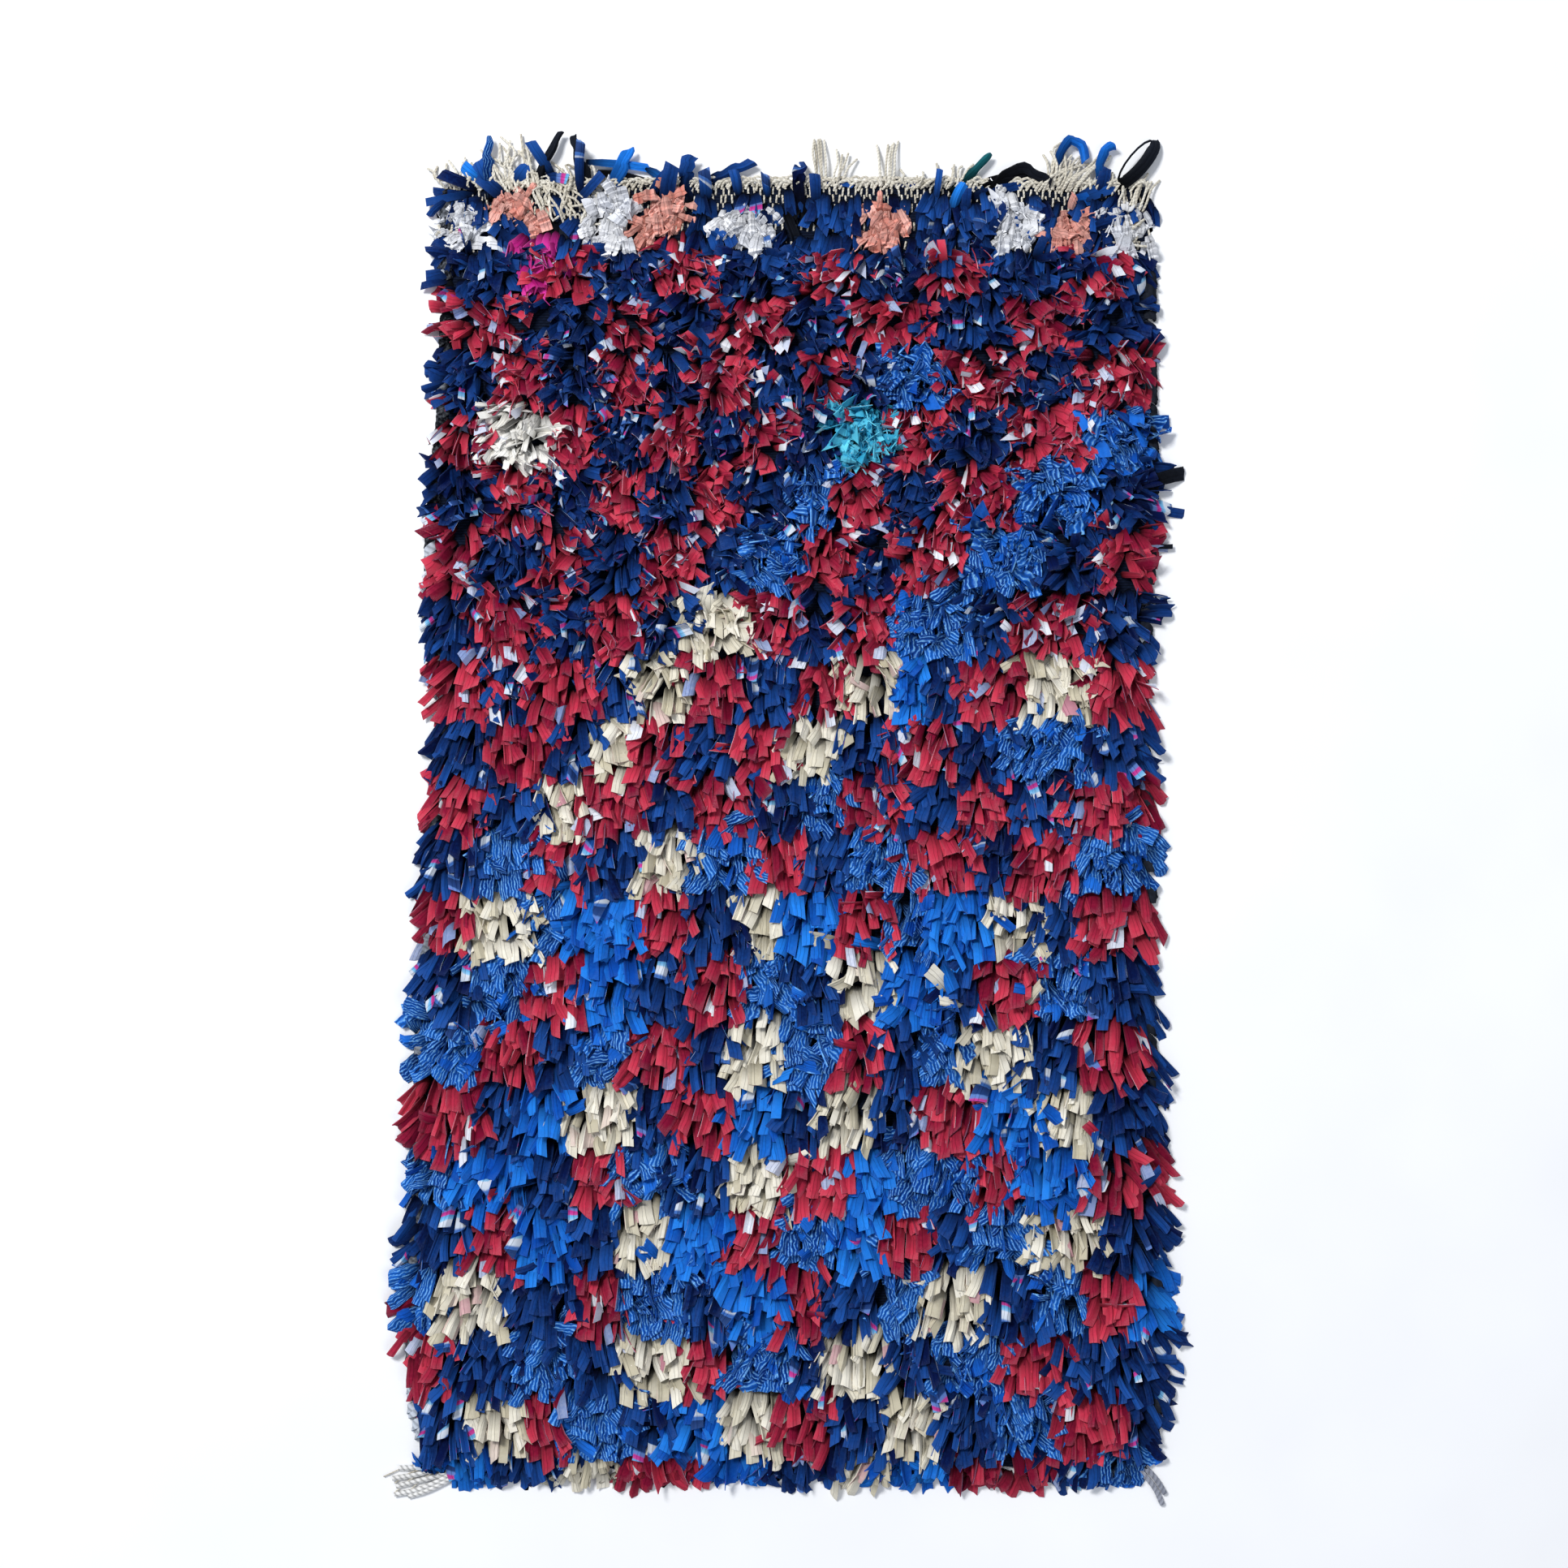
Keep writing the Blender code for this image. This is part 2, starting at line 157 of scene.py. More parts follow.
class Board:
    """Lays out and links the nodes of one tree."""

    def __init__(self, tree: bpy.types.NodeTree) -> None:
        """Takes the tree to work on."""
        self.tree = tree

    def add(self, kind: str, inputs: dict | None = None, **settings) -> bpy.types.Node:
        """Adds a node and fills its inputs.

        Args:
            kind: the node's type name.
            inputs: input name or index to a wire to link, or a plain value.
            **settings: properties of the node.

        Returns:
            The new node.
        """
        node = self.tree.nodes.new(kind)
        for key, value in settings.items():
            setattr(node, key, value)
        for key, value in (inputs or {}).items():
            if isinstance(value, Wire):
                self.tree.links.new(value.socket, node.inputs[key])
            else:
                node.inputs[key].default_value = value
        return node

    def value(self, kind: str, output: str | int, inputs: dict | None = None, **settings) -> Wire:
        """Adds a node and takes one of its outputs."""
        return Wire(self, self.add(kind, inputs, **settings).outputs[output])

    def math(self, operation: str, *values: Wire | float) -> Wire:
        """The result of one Math node."""
        return self.value("ShaderNodeMath", 0, dict(enumerate(values)), operation=operation)

    def mix(self, factor: Value, first: Value, second: Value, blend: str = "MIX") -> Wire:
        """Two colours mixed by a factor."""
        inputs = {0: factor, 6: first, 7: second}
        return self.value("ShaderNodeMix", 2, inputs, data_type="RGBA", blend_type=blend)

    def group(self, tree: bpy.types.NodeTree, inputs: dict) -> dict[str, Wire]:
        """Adds a shader group: its outputs by name."""
        node = self.add("ShaderNodeGroup", inputs, node_tree=tree)
        return {out.name: Wire(self, out) for out in node.outputs}

    def place(self) -> Wire:
        """The place on the rug, in metres."""
        return self.value("ShaderNodeTexCoord", "Object")

    def cloth(self) -> Wire:
        """The place across and along the strip or yarn, in millimetres."""
        return self.value("ShaderNodeUVMap", "UV", uv_map=CLOTH_UV)

    def dye(self) -> list[Wire]:
        """The strip's tint, 1 on its underside, 1 if that is printed, and the share along it."""
        node = self.add("ShaderNodeAttribute", attribute_name=DYE)
        own = self.add("ShaderNodeSeparateColor", {0: Wire(self, node.outputs["Color"])})
        return [Wire(self, out) for out in (*own.outputs, node.outputs["Alpha"])]


class Group(Board):
    """One shader node group with named inputs and outputs."""

    def __init__(self, name: str, takes: dict[str, float | None], gives: dict[str, str]) -> None:
        """Makes the group's sockets.

        Args:
            name: the group's name.
            takes: input name to its default number, or None for a vector.
            gives: output name to its kind, Float or Color.
        """
        super().__init__(bpy.data.node_groups.new(name, "ShaderNodeTree"))
        for title, default in takes.items():
            kind = "NodeSocketVector" if default is None else "NodeSocketFloat"
            socket = self.tree.interface.new_socket(title, in_out="INPUT", socket_type=kind)
            if default is not None:
                socket.default_value = default
        for title, kind in gives.items():
            self.tree.interface.new_socket(title, in_out="OUTPUT", socket_type=f"NodeSocket{kind}")
        start = self.add("NodeGroupInput")
        self.inside = {title: Wire(self, start.outputs[title]) for title in takes}

    def give(self, **results: Wire) -> bpy.types.NodeTree:
        """Links the group's outputs and gives the group."""
        self.add("NodeGroupOutput", results)
        return self.tree


# Where each band of the faded print starts, as a share of its repeat, and its dye
PRINT_BANDS = (
    (0.00, "1D3566"), (0.24, "23407A"), (0.28, "5F86C8"), (0.36, "6E7FC4"), (0.40, "C2318A"),
    (0.49, "C9489A"), (0.52, "5BA6DC"), (0.63, "8CC3E8"), (0.67, "D9DEE8"), (0.86, "C9D3E0"),
    (0.92, "3E69B0"),
)
PRINT_REPEAT = 44.0          # length of the print's repeat, in millimetres
RIB_STITCH = 1.3             # length of a rib's stitch, in millimetres
FOLD_APART = 4.6             # how far apart a strip's two creases run, in millimetres


class Effects:
    """The shader groups that the rug's fabrics share, each made once."""

    def __init__(self) -> None:
        """Builds every group."""
        self.knit = self.knit_face()
        self.rib = self.rib_face()
        self.drift = self.dye_drift()
        self.print = self.printed_bands()
        self.fray = self.frayed_edge()
        self.twist = self.yarn_twist()
        self.folds = self.folded_lines()
        self.weave = self.plain_weave()

    def knit_face(self) -> bpy.types.NodeTree:
        """Wales of stitches along a jersey strip: a height from 0 to 1."""
        group = Group("Knit Face", {"Millimetres": None, "Wale": 0.95, "Course": 0.8}, {"Height": "Float"})
        across, along, _ = group.inside["Millimetres"].parts()
        slope = abs((across / group.inside["Wale"]).apply("FRACT") - 0.5) * 2.0
        loops = (along / group.inside["Course"] + slope * 0.6).sine()
        return group.give(Height=(1.0 - slope * slope) * loops.span(-1.0, 1.0, 0.55, 1.0))

    def rib_face(self) -> bpy.types.NodeTree:
        """Broad ribs along a strip: their height, and a mask of the pale yarn on their crests."""
        group = Group("Rib Face", {"Millimetres": None, "Pitch": 4.3}, {"Height": "Float", "Crest": "Float"})
        cloth = group.inside["Millimetres"]
        across, along, _ = cloth.parts()
        wave = (across / group.inside["Pitch"] + cloth.noise(0.07) * 2.6).sine()
        stitch = along.sine(1.0 / RIB_STITCH).span(-1.0, 1.0, 0.80, 1.0)
        speck = cloth.noise(0.35, 3.0).span(0.30, 0.62, 0.15, 1.0)
        return group.give(Height=wave.span(-0.9, 0.9) * stitch, Crest=wave.span(0.35, 0.85) * speck)

    def dye_drift(self) -> bpy.types.NodeTree:
        """How light a spot is dyed: its strip's own tint with cloudy drift over the rug."""
        group = Group("Dye Drift", {"Place": None, "Tint": 0.5, "Spread": 0.8}, {"Lightness": "Float"})
        place = group.inside["Place"]
        own = (group.inside["Tint"] - 0.5) * group.inside["Spread"]
        drift = place.noise(9.0, 3.0).span(0.3, 0.7, -0.12, 0.12)
        grain = place.noise(260.0).span(0.3, 0.7, -0.10, 0.10)
        most = group.math("MINIMUM", own + 0.5 + (drift + grain), 1.0)
        return group.give(Lightness=group.math("MAXIMUM", most, 0.0))

    def printed_bands(self) -> bpy.types.NodeTree:
        """Bands of a faded print in white, sky, periwinkle, magenta and navy."""
        group = Group("Printed Bands", {"Millimetres": None, "Shift": 0.5}, {"Colour": "Color"})
        across, along, _ = group.inside["Millimetres"].parts()
        shift = group.inside["Shift"]
        place = (along + across * ((shift - 0.5) * 1.4)) / PRINT_REPEAT + shift * 9.0
        ramp = group.add("ShaderNodeValToRGB", {"Fac": place.apply("FRACT")})
        stops = ramp.color_ramp.elements
        stops.remove(stops[1])
        stops[0].position, stops[0].color = PRINT_BANDS[0][0], shade(PRINT_BANDS[0][1])
        for start, code in PRINT_BANDS[1:]:
            stops.new(start).color = shade(code)
        return group.give(Colour=Wire(group, ramp.outputs["Color"]))

    def frayed_edge(self) -> bpy.types.NodeTree:
        """A broken mask along cut edges, where the cloth is worn pale and fuzzy."""
        group = Group("Frayed Edge", {"Edge": 0.0, "Millimetres": None}, {"Mask": "Float"})
        broken = group.inside["Millimetres"].noise(0.9, 3.0, 0.7).span(0.38, 0.66)
        return group.give(Mask=group.inside["Edge"].span(0.45, 1.0) * broken)

    def folded_lines(self) -> bpy.types.NodeTree:
        """Two creases along a strip that is folded on itself: a stepped height and a mask of the lines, which
        the jersey darkens as painted shade.
        """
        gives = {"Height": "Float", "Line": "Float"}
        group = Group("Folded Lines", {"Millimetres": None, "Shift": 0.5}, gives)
        cloth = group.inside["Millimetres"]
        across = cloth.parts()[0] + (cloth.noise(0.05, 1.0) - 0.5) * 5.0
        first = across + (group.inside["Shift"] - 0.5) * 7.0
        second = first - FOLD_APART
        steps = first.span(-0.5, 0.5) - second.span(-0.5, 0.5, 0.0, 0.7)
        lines = [abs(crease + 0.5).span(0.0, 0.75, 1.0, 0.0) for crease in (first, second)]
        return group.give(Height=steps * 0.6 + 0.3, Line=group.math("MAXIMUM", *lines))

    def yarn_twist(self) -> bpy.types.NodeTree:
        """The plies of a twisted yarn, winding round it: a height from 0 to 1."""
        group = Group("Yarn Twist", {"Millimetres": None, "Turn": 6.0}, {"Height": "Float"})
        cloth = group.inside["Millimetres"]
        around, along, _ = cloth.parts()
        plies = (along / group.inside["Turn"] + around).sine(2.0).span(-1.0, 1.0, 0.0, 0.7)
        return group.give(Height=plies + cloth.noise(2.2, 3.0, 0.7) * 0.3)

    def plain_weave(self) -> bpy.types.NodeTree:
        """Weft picks beaten over a hidden warp: a height from 0 to 1."""
        group = Group("Plain Weave", {"Place": None, "Warp": 0.0080, "Weft": 0.0034}, {"Height": "Float"})
        across, along, _ = group.inside["Place"].parts()
        pick = along / group.inside["Weft"]
        over = across / (group.inside["Warp"] / FULL_TURN) + pick.apply("FLOOR") * math.pi
        return group.give(Height=abs(pick.sine(0.5)) * over.apply("SINE").span(-1.0, 1.0, 0.45, 1.0))


# ---------------------------------------------------------------- finishes


@dataclass(frozen=True)
class Look:
    """What a finish gives its shader: colour, roughness, and relief from 0 to 1 with its depth in metres."""
    colour: Wire
    rough: Wire
    relief: Wire
    depth: float


@dataclass(frozen=True)
class Finish:
    """What every fabric finish states: its record slot and its dye, from deep to light."""
    name: str
    slot: str
    deep: str
    light: str

    def dyed(self, board: Board, effects: Effects, inputs: dict[str, Value]) -> tuple[Wire, Wire]:
        """The dyed colour.

        Args:
            board: the material's board.
            effects: the shared shader groups.
            inputs: what goes into the dye's drift.

        Returns:
            How light the dye is, and the colour.
        """
        lightness = board.group(effects.drift, inputs)["Lightness"]
        return lightness, board.mix(lightness, shade(self.deep), shade(self.light))

    def look(self, board: Board, effects: Effects) -> Look:
        """The finish's look, which each kind of fabric defines."""
        raise NotImplementedError

    def build(self, effects: Effects) -> bpy.types.Material:
        """Makes the material.

        Args:
            effects: the shared shader groups.

        Returns:
            The material.
        """
        made = bpy.data.materials.new(self.name)
        made.use_nodes = True
        shader, board = made.node_tree.nodes["Principled BSDF"], Board(made.node_tree)
        shader.inputs["Specular IOR Level"].default_value = CLOTH_GLOSS
        look = self.look(board, effects)
        bump = board.value("ShaderNodeBump", "Normal", {
            "Height": look.relief, "Distance": look.depth, "Strength": BUMP_STRENGTH})
        for title, wire in (("Base Color", look.colour), ("Roughness", look.rough), ("Normal", bump)):
            board.tree.links.new(wire.socket, shader.inputs[title])
        return made


@dataclass(frozen=True)
class JerseyFinish(Finish):
    """A knitted rag: its dyed face, its paler or printed back, worn cut edges, and painted shade in its
    creases and grooves and towards its knot.
    """
    back: str = "C9CBD6"
    worn: str = "E6E6EC"
    crest: str = "7DBBEC"            # the pale yarn on a rib's crest
    banded: bool = False             # whether the back carries the print
    ribbed: bool = False
    knit_depth: float = 0.00025
    rib_depth: float = 0.0012
    crumple_depth: float = 0.0       # how deep a crumpled rag's creases are, or 0 for a smooth rag
    crumpled_root: float = 0.55      # how light the painted shade deep in the pile leaves a crumpled rag at its knot

    def look(self, board: Board, effects: Effects) -> Look:
        """The rag's look. The back shows past a slanting fold somewhere along the strip.

        Args:
            board: the material's board.
            effects: the shared shader groups.

        Returns:
            The look.
        """
        cloth = board.cloth()
        tint, below, printed, along = board.dye()
        fold = board.value("ShaderNodeCombineXYZ", 0, {0: tint}).noise(40.0, 0.0).span(0.3, 0.7, 0.30, 0.80)
        lean = cloth.parts()[0] * tint.span(0.0, 1.0, -0.022, 0.022)
        is_back = below.span(0.75, 0.9) * (along + lean - fold).span(-0.01, 0.01)
        lightness, face = self.dyed(board, effects, {"Place": board.place(), "Tint": tint, "Spread": 1.15})
        inner = face
        relief, depth = board.group(effects.knit, {"Millimetres": cloth})["Height"], self.knit_depth
        if self.ribbed:
            ribs = board.group(effects.rib, {"Millimetres": cloth})
            relief, depth = ribs["Height"], self.rib_depth
            # Painted shade: the rib's grooves are darkened where its relief is low.
            face = face.darkened(relief.span(0.0, 0.6, 0.55, 1.0))
            face = board.mix(ribs["Crest"], face, shade(self.crest))
        if self.crumple_depth:
            relief, depth = cloth.noise(0.11, 2.0, 0.55).span(0.25, 0.75, 0.0, 2.0), self.crumple_depth
        if self.banded:
            back = board.group(effects.print, {"Millimetres": cloth, "Shift": tint})["Colour"]
        else:
            back = board.mix(lightness, shade(self.back), shade(self.worn))
        colour = board.mix(is_back, face, board.mix(printed, inner, back))
        edge = board.value("ShaderNodeAttribute", "Fac", attribute_name=CUT_EDGE)
        fray = board.group(effects.fray, {"Edge": edge, "Millimetres": cloth})["Mask"]
        colour = board.mix(fray * 0.08, colour, shade(self.worn))
        folds = board.group(effects.folds, {"Millimetres": cloth, "Shift": tint})
        relief = relief * 0.4 + folds["Height"]
        # Painted shade: the lines of the two creases are darkened.
        colour = colour.darkened(folds["Line"].span(0.0, 1.0, 1.0, 0.55))
        # Painted shade: darker towards the knot, deep in the pile (down to black on a smooth rag), and darker
        # where the knit or the fold lies low.
        root = self.crumpled_root if self.crumple_depth else 0.0
        colour = colour.darkened(along.span(0.0, 0.8, root, 1.0) * relief.span(0.3, 0.9, 0.84, 1.0))
        return Look(colour, lightness.span(0.0, 1.0, 0.94, 0.80), relief, depth)


@dataclass(frozen=True)
class YarnFinish(Finish):
    """A spun and twisted yarn."""
    turn: float = 9.0                # millimetres to a turn of its twist
    spread: float = 0.6              # how far the yarns' tints differ
    groove: float = 0.66             # how light the painted shade leaves the hollow between plies
    depth: float = 0.0007

    def look(self, board: Board, effects: Effects) -> Look:
        """The yarn's look: its plies, with painted shade in the hollow between them.

        Args:
            board: the material's board.
            effects: the shared shader groups.

        Returns:
            The look.
        """
        cloth, tint = board.cloth(), board.dye()[0]
        _, colour = self.dyed(board, effects, {"Place": board.place(), "Tint": tint, "Spread": self.spread})
        relief = board.group(effects.twist, {"Millimetres": cloth, "Turn": self.turn})["Height"]
        # Painted shade: darker in the hollows between plies.
        colour = colour.darkened(relief.span(0.0, 0.6, self.groove, 1.0))
        return Look(colour, relief.span(0.0, 1.0, 0.98, 0.86), relief, self.depth)


@dataclass(frozen=True)
class GroundFinish(Finish):
    """The plain-woven ground: dark weft packed over a hidden warp."""
    second: str = "141D30"           # the weft's other dye
    depth: float = 0.0009

    def look(self, board: Board, effects: Effects) -> Look:
        """The cloth's look: beaten picks in two dark dyes, with painted shade where the weave dips.

        Args:
            board: the material's board.
            effects: the shared shader groups.

        Returns:
            The look.
        """
        place = board.place()
        _, weft = self.dyed(board, effects, {"Place": place})
        relief = board.group(effects.weave, {"Place": place})["Height"]
        picks = board.value("ShaderNodeMapping", 0, {"Vector": place, "Scale": (1.5, 90.0, 1.0)}).noise(1.0)
        weft = board.mix(picks.span(0.45, 0.6, 0.0, 0.8), weft, shade(self.second))
        # Painted shade: darker where the weave's relief is low.
        colour = weft.darkened(relief.span(0.0, 0.7, 0.4, 1.0))
        return Look(colour, relief.span(0.0, 1.0, 0.98, 0.88), relief, self.depth)


# ---------------------------------------------------------------- fabrics and the chart


class Fabric(Enum):
    """The rags, by the letter that stands for them in the chart."""
    NAVY = "N"
    NAVY_PRINT = "P"
    NAVY_LOOP = "L"
    DARK_LOOP = "K"
    BLUE = "B"
    RIB = "U"
    RED = "R"
    CREAM = "C"
    WHITE = "W"
    WHITE_TUFT = "H"
    SALMON = "S"
    MAGENTA = "M"
    TURQUOISE = "T"
    BARE = "G"


@dataclass(frozen=True)
class Cut:
    """How a rag is cut and how its strips lie. Pairs are lowest and highest, in metres or degrees."""
    width: tuple[float, float]
    length: tuple[float, float]
    arch: tuple[float, float]            # how far the strip curls across its width, in radians
    flare: tuple[float, float] = (-0.05, 0.20)
    rise: tuple[float, float] = (46.0, 72.0)
    tip: tuple[float, float] = (-12.0, 20.0)
    thickness: float = 0.0011
    crumple: float = 0.0008
    pleat: float = 0.08
    slant: float = 0.36
    scatter: float = 9.0
    any_way: float = 0.0                 # share of strips that point anywhere
    ends: float = 2.8                    # strip ends to a knot
    turned: float = 0.08                 # share that show their back
    printed: float = 0.3                 # share whose back is printed or pale
    ruffled: bool = False                # crumpled along its length
    deeper: float = 0.0                  # how much darker its strips are near the heading, where the nap is messy


CUTS: dict[Fabric, Cut] = {
    Fabric.NAVY: Cut((0.011, 0.018), (0.038, 0.056), (0.9, 3.4), printed=0.60, turned=0.14, deeper=0.40),
    Fabric.NAVY_PRINT: Cut((0.013, 0.018), (0.044, 0.054), (0.4, 1.4), printed=1.0, turned=0.9),
    Fabric.NAVY_LOOP: Cut(
        (0.013, 0.017), (0.058, 0.072), (0.3, 1.1), flare=(-0.1, 0.1), rise=(52.0, 70.0), tip=(-74.0, -52.0),
        scatter=7.0, ends=1.6, turned=0.04),
    Fabric.DARK_LOOP: Cut(
        (0.011, 0.016), (0.040, 0.058), (0.4, 2.2), rise=(30.0, 66.0), tip=(-70.0, -20.0), scatter=30.0,
        ends=2.0, turned=0.0),
    Fabric.BLUE: Cut((0.014, 0.021), (0.040, 0.057), (0.8, 3.0), ends=3.0, turned=0.09, printed=0.50),
    Fabric.RIB: Cut(
        (0.018, 0.029), (0.034, 0.048), (1.4, 4.6), flare=(0.0, 0.4), thickness=0.0020, crumple=0.0030,
        pleat=0.10, scatter=26.0, any_way=0.14, ends=2.8, turned=0.14, printed=0.0, tip=(-24.0, 20.0)),
    Fabric.RED: Cut(
        (0.012, 0.020), (0.038, 0.055), (0.7, 3.2), flare=(0.0, 0.30), crumple=0.0012, pleat=0.09,
        scatter=9.0, ends=2.35, turned=0.10, printed=0.8),
    Fabric.CREAM: Cut(
        (0.012, 0.019), (0.036, 0.052), (0.8, 3.2), flare=(0.0, 0.25), thickness=0.0013, crumple=0.0020,
        pleat=0.09, scatter=9.0, ends=2.45, turned=0.06, printed=0.5),
    Fabric.WHITE: Cut(
        (0.010, 0.019), (0.020, 0.033), (0.5, 3.0), thickness=0.0012, crumple=0.0026, pleat=0.12,
        scatter=26.0, any_way=0.40, ends=4.6, turned=0.0, rise=(8.0, 34.0), tip=(-34.0, 6.0), slant=0.9,
        ruffled=True),
    Fabric.WHITE_TUFT: Cut(
        (0.012, 0.017), (0.046, 0.060), (1.4, 3.2), flare=(-0.2, 0.1), crumple=0.0020, scatter=10.0,
        any_way=0.04, ends=3.7, turned=0.0, rise=(50.0, 76.0), tip=(-6.0, 26.0)),
    Fabric.SALMON: Cut(
        (0.009, 0.016), (0.019, 0.031), (0.8, 3.2), crumple=0.0024, pleat=0.08, scatter=34.0, any_way=0.45,
        ends=4.6, turned=0.0, rise=(10.0, 38.0), tip=(-36.0, 6.0), slant=0.8, ruffled=True),
    Fabric.MAGENTA: Cut((0.015, 0.021), (0.040, 0.048), (0.8, 2.2), flare=(0.1, 0.6), turned=0.05),
    Fabric.TURQUOISE: Cut(
        (0.014, 0.022), (0.034, 0.046), (0.6, 2.4), flare=(0.1, 0.4), crumple=0.0034, pleat=0.14,
        scatter=34.0, any_way=0.20, ends=4.4, turned=0.0, rise=(45.0, 74.0), tip=(-20.0, 24.0), slant=0.7,
        ruffled=True),
}


@dataclass(frozen=True)
class Course:
    """One row of colour blocks: its depth down the rug, its rows of knots, and the run of its blocks."""
    depth: float
    rows: int
    run: str

    def knots(self) -> list[tuple[Fabric, float]]:
        """For each knot of a row its fabric and its place in its block, from -1 to 1."""
        made = []
        for block in self.run.split():
            fabric, count = Fabric(block[0]), int(block[1:])
            for i in range(count):
                made.append((fabric, 2.0 * (i + 0.5) / count - 1.0))
        return made


# Each block is a fabric's letter and its count of knots, 54 knots to a row, from the heading down.
CHART: tuple[Course, ...] = (
    Course(0.022, 1, "N3 S4 G4 W4 S4 L4 P1 L4 N4 L5 N5 W2 N2 G3 N5"),
    Course(0.023, 1, "W4 N1 S3 K2 N1 W4 S4 L2 W5 K3 N3 S5 N5 W4 N1 S3 N1 W3"),
    Course(0.022, 1, "W3 P2 M4 N2 W4 S2 R2 N3 W4 N6 S4 N6 W4 S4 N2 W2"),
    Course(0.018, 1, "N6 M4 R3 N4 R3 N34"),
    Course(0.055, 2, "N6 M1 R4 N5 R4 N8 R4 N5 R4 N7 R4 N2"),
    Course(0.065, 2, "R6 N6 R4 N5 R6 N4 R6 N6 R6 N5"),
    Course(0.070, 3, "N4 R4 N4 R4 N3 R5 N4 R3 N3 U4 R6 N4 R6"),
    Course(0.072, 3, "R4 H4 R4 N4 R4 N3 R3 N4 T4 R4 N5 R6 U5"),
    Course(0.078, 3, "N4 R4 N4 R4 N3 R4 N4 U3 R4 N4 R6 U6 N4"),
    Course(0.078, 3, "R4 N4 R4 N4 R4 N4 U4 R4 N3 R5 U6 N4 R4"),
    Course(0.074, 3, "N3 R5 N4 R4 N3 C5 R4 N3 R4 U6 N3 R6 N4"),
    Course(0.073, 3, "R4 N3 R5 N3 C4 R4 N5 R3 C4 B3 N2 R5 C5 R4"),
    Course(0.070, 3, "N4 R5 N3 C3 R4 N4 R4 C4 N4 R5 N4 U6 N4"),
    Course(0.067, 3, "R4 N4 C3 R5 N3 R5 N4 U3 R4 N5 R4 N4 R6"),
    Course(0.075, 3, "N4 U4 R4 N4 C4 U4 R4 N4 U4 R5 N3 R5 U5"),
    Course(0.078, 3, "R3 C5 U3 B5 R4 N4 C3 B4 R4 U3 B4 C4 N3 R5"),
    Course(0.082, 3, "N4 U4 R4 B4 N4 R4 U4 N3 C4 B4 N3 R4 U4 N4"),
    Course(0.081, 3, "U5 R4 N3 U4 R4 N3 C4 U4 R3 N3 U3 C5 N4 R4 N1"),
    Course(0.077, 3, "R5 N3 B3 C5 N3 R4 B4 N3 C4 N3 R5 B4 C4 N4"),
    Course(0.072, 3, "U3 B5 N4 R3 U4 N4 C4 R5 B3 U6 R3 B5 R5"),
    Course(0.078, 3, "N4 R4 B3 N4 C4 B4 R4 U4 B3 R4 N3 U4 C5 N4"),
    Course(0.080, 3, "U2 C5 N5 R3 U5 N3 B4 R3 N4 U3 C5 N4 U3 R3 B2"),
    Course(0.075, 3, "R3 N5 U3 N4 C5 R3 U5 N2 C5 N3 U5 R4 N7"),
    Course(0.075, 3, "N4 C4 R3 U5 N3 B4 C4 R4 N4 C4 N4 U4 R5 N2"),
    Course(0.050, 2, "B5 N5 C5 R7 B4 N5 C4 B5 R7 N4 U3"),
)
BAND_COURSES = 4             # courses in the thin band under the heading


# ---------------------------------------------------------------- the frame's outline


class Outline:
    """Where a flat CAD node's edges run, read from the rim of its underside."""

    def __init__(self, node: bpy.types.Object) -> None:
        """Reads the rim.

        Args:
            node: a CAD node whose lowest points are all on its rim.
        """
        points = np.array([v.co for v in node.data.vertices])
        rim = points[points[:, 2] < points[:, 2].min() + 0.0001]
        reach = 0.9 * min(-rim[:, 0].min(), rim[:, 0].max())
        left, right = rim[rim[:, 0] < -reach], rim[rim[:, 0] > reach]
        self.left_rim = left[np.argsort(left[:, 1])]
        self.right_rim = right[np.argsort(right[:, 1])]
        middle = rim[np.abs(rim[:, 0]) < reach]
        head, hem = middle[middle[:, 1] > 0.0], middle[middle[:, 1] < 0.0]
        self.head_rim = head[np.argsort(head[:, 0])]
        self.hem_rim = hem[np.argsort(hem[:, 0])]

    def left(self, y: np.ndarray) -> np.ndarray:
        """The left edge's X at some Y."""
        return np.interp(y, self.left_rim[:, 1], self.left_rim[:, 0])

    def right(self, y: np.ndarray) -> np.ndarray:
        """The right edge's X at some Y."""
        return np.interp(y, self.right_rim[:, 1], self.right_rim[:, 0])

    def head(self, x: np.ndarray) -> np.ndarray:
        """The heading edge's Y at some X."""
        return np.interp(x, self.head_rim[:, 0], self.head_rim[:, 1])

    def hem(self, x: np.ndarray) -> np.ndarray:
        """The lower edge's Y at some X."""
        return np.interp(x, self.hem_rim[:, 0], self.hem_rim[:, 1])


# ---------------------------------------------------------------- blanks and their copies


@dataclass
class Blank:
    """A unit strip or yarn, modelled once, that every copy is bent from."""
    stations: int
    across: np.ndarray
    lift: np.ndarray
    station: np.ndarray
    loop_vertex: np.ndarray
    face_sizes: np.ndarray
    bake_uv: np.ndarray
    loop_turn: np.ndarray
    is_tube: bool


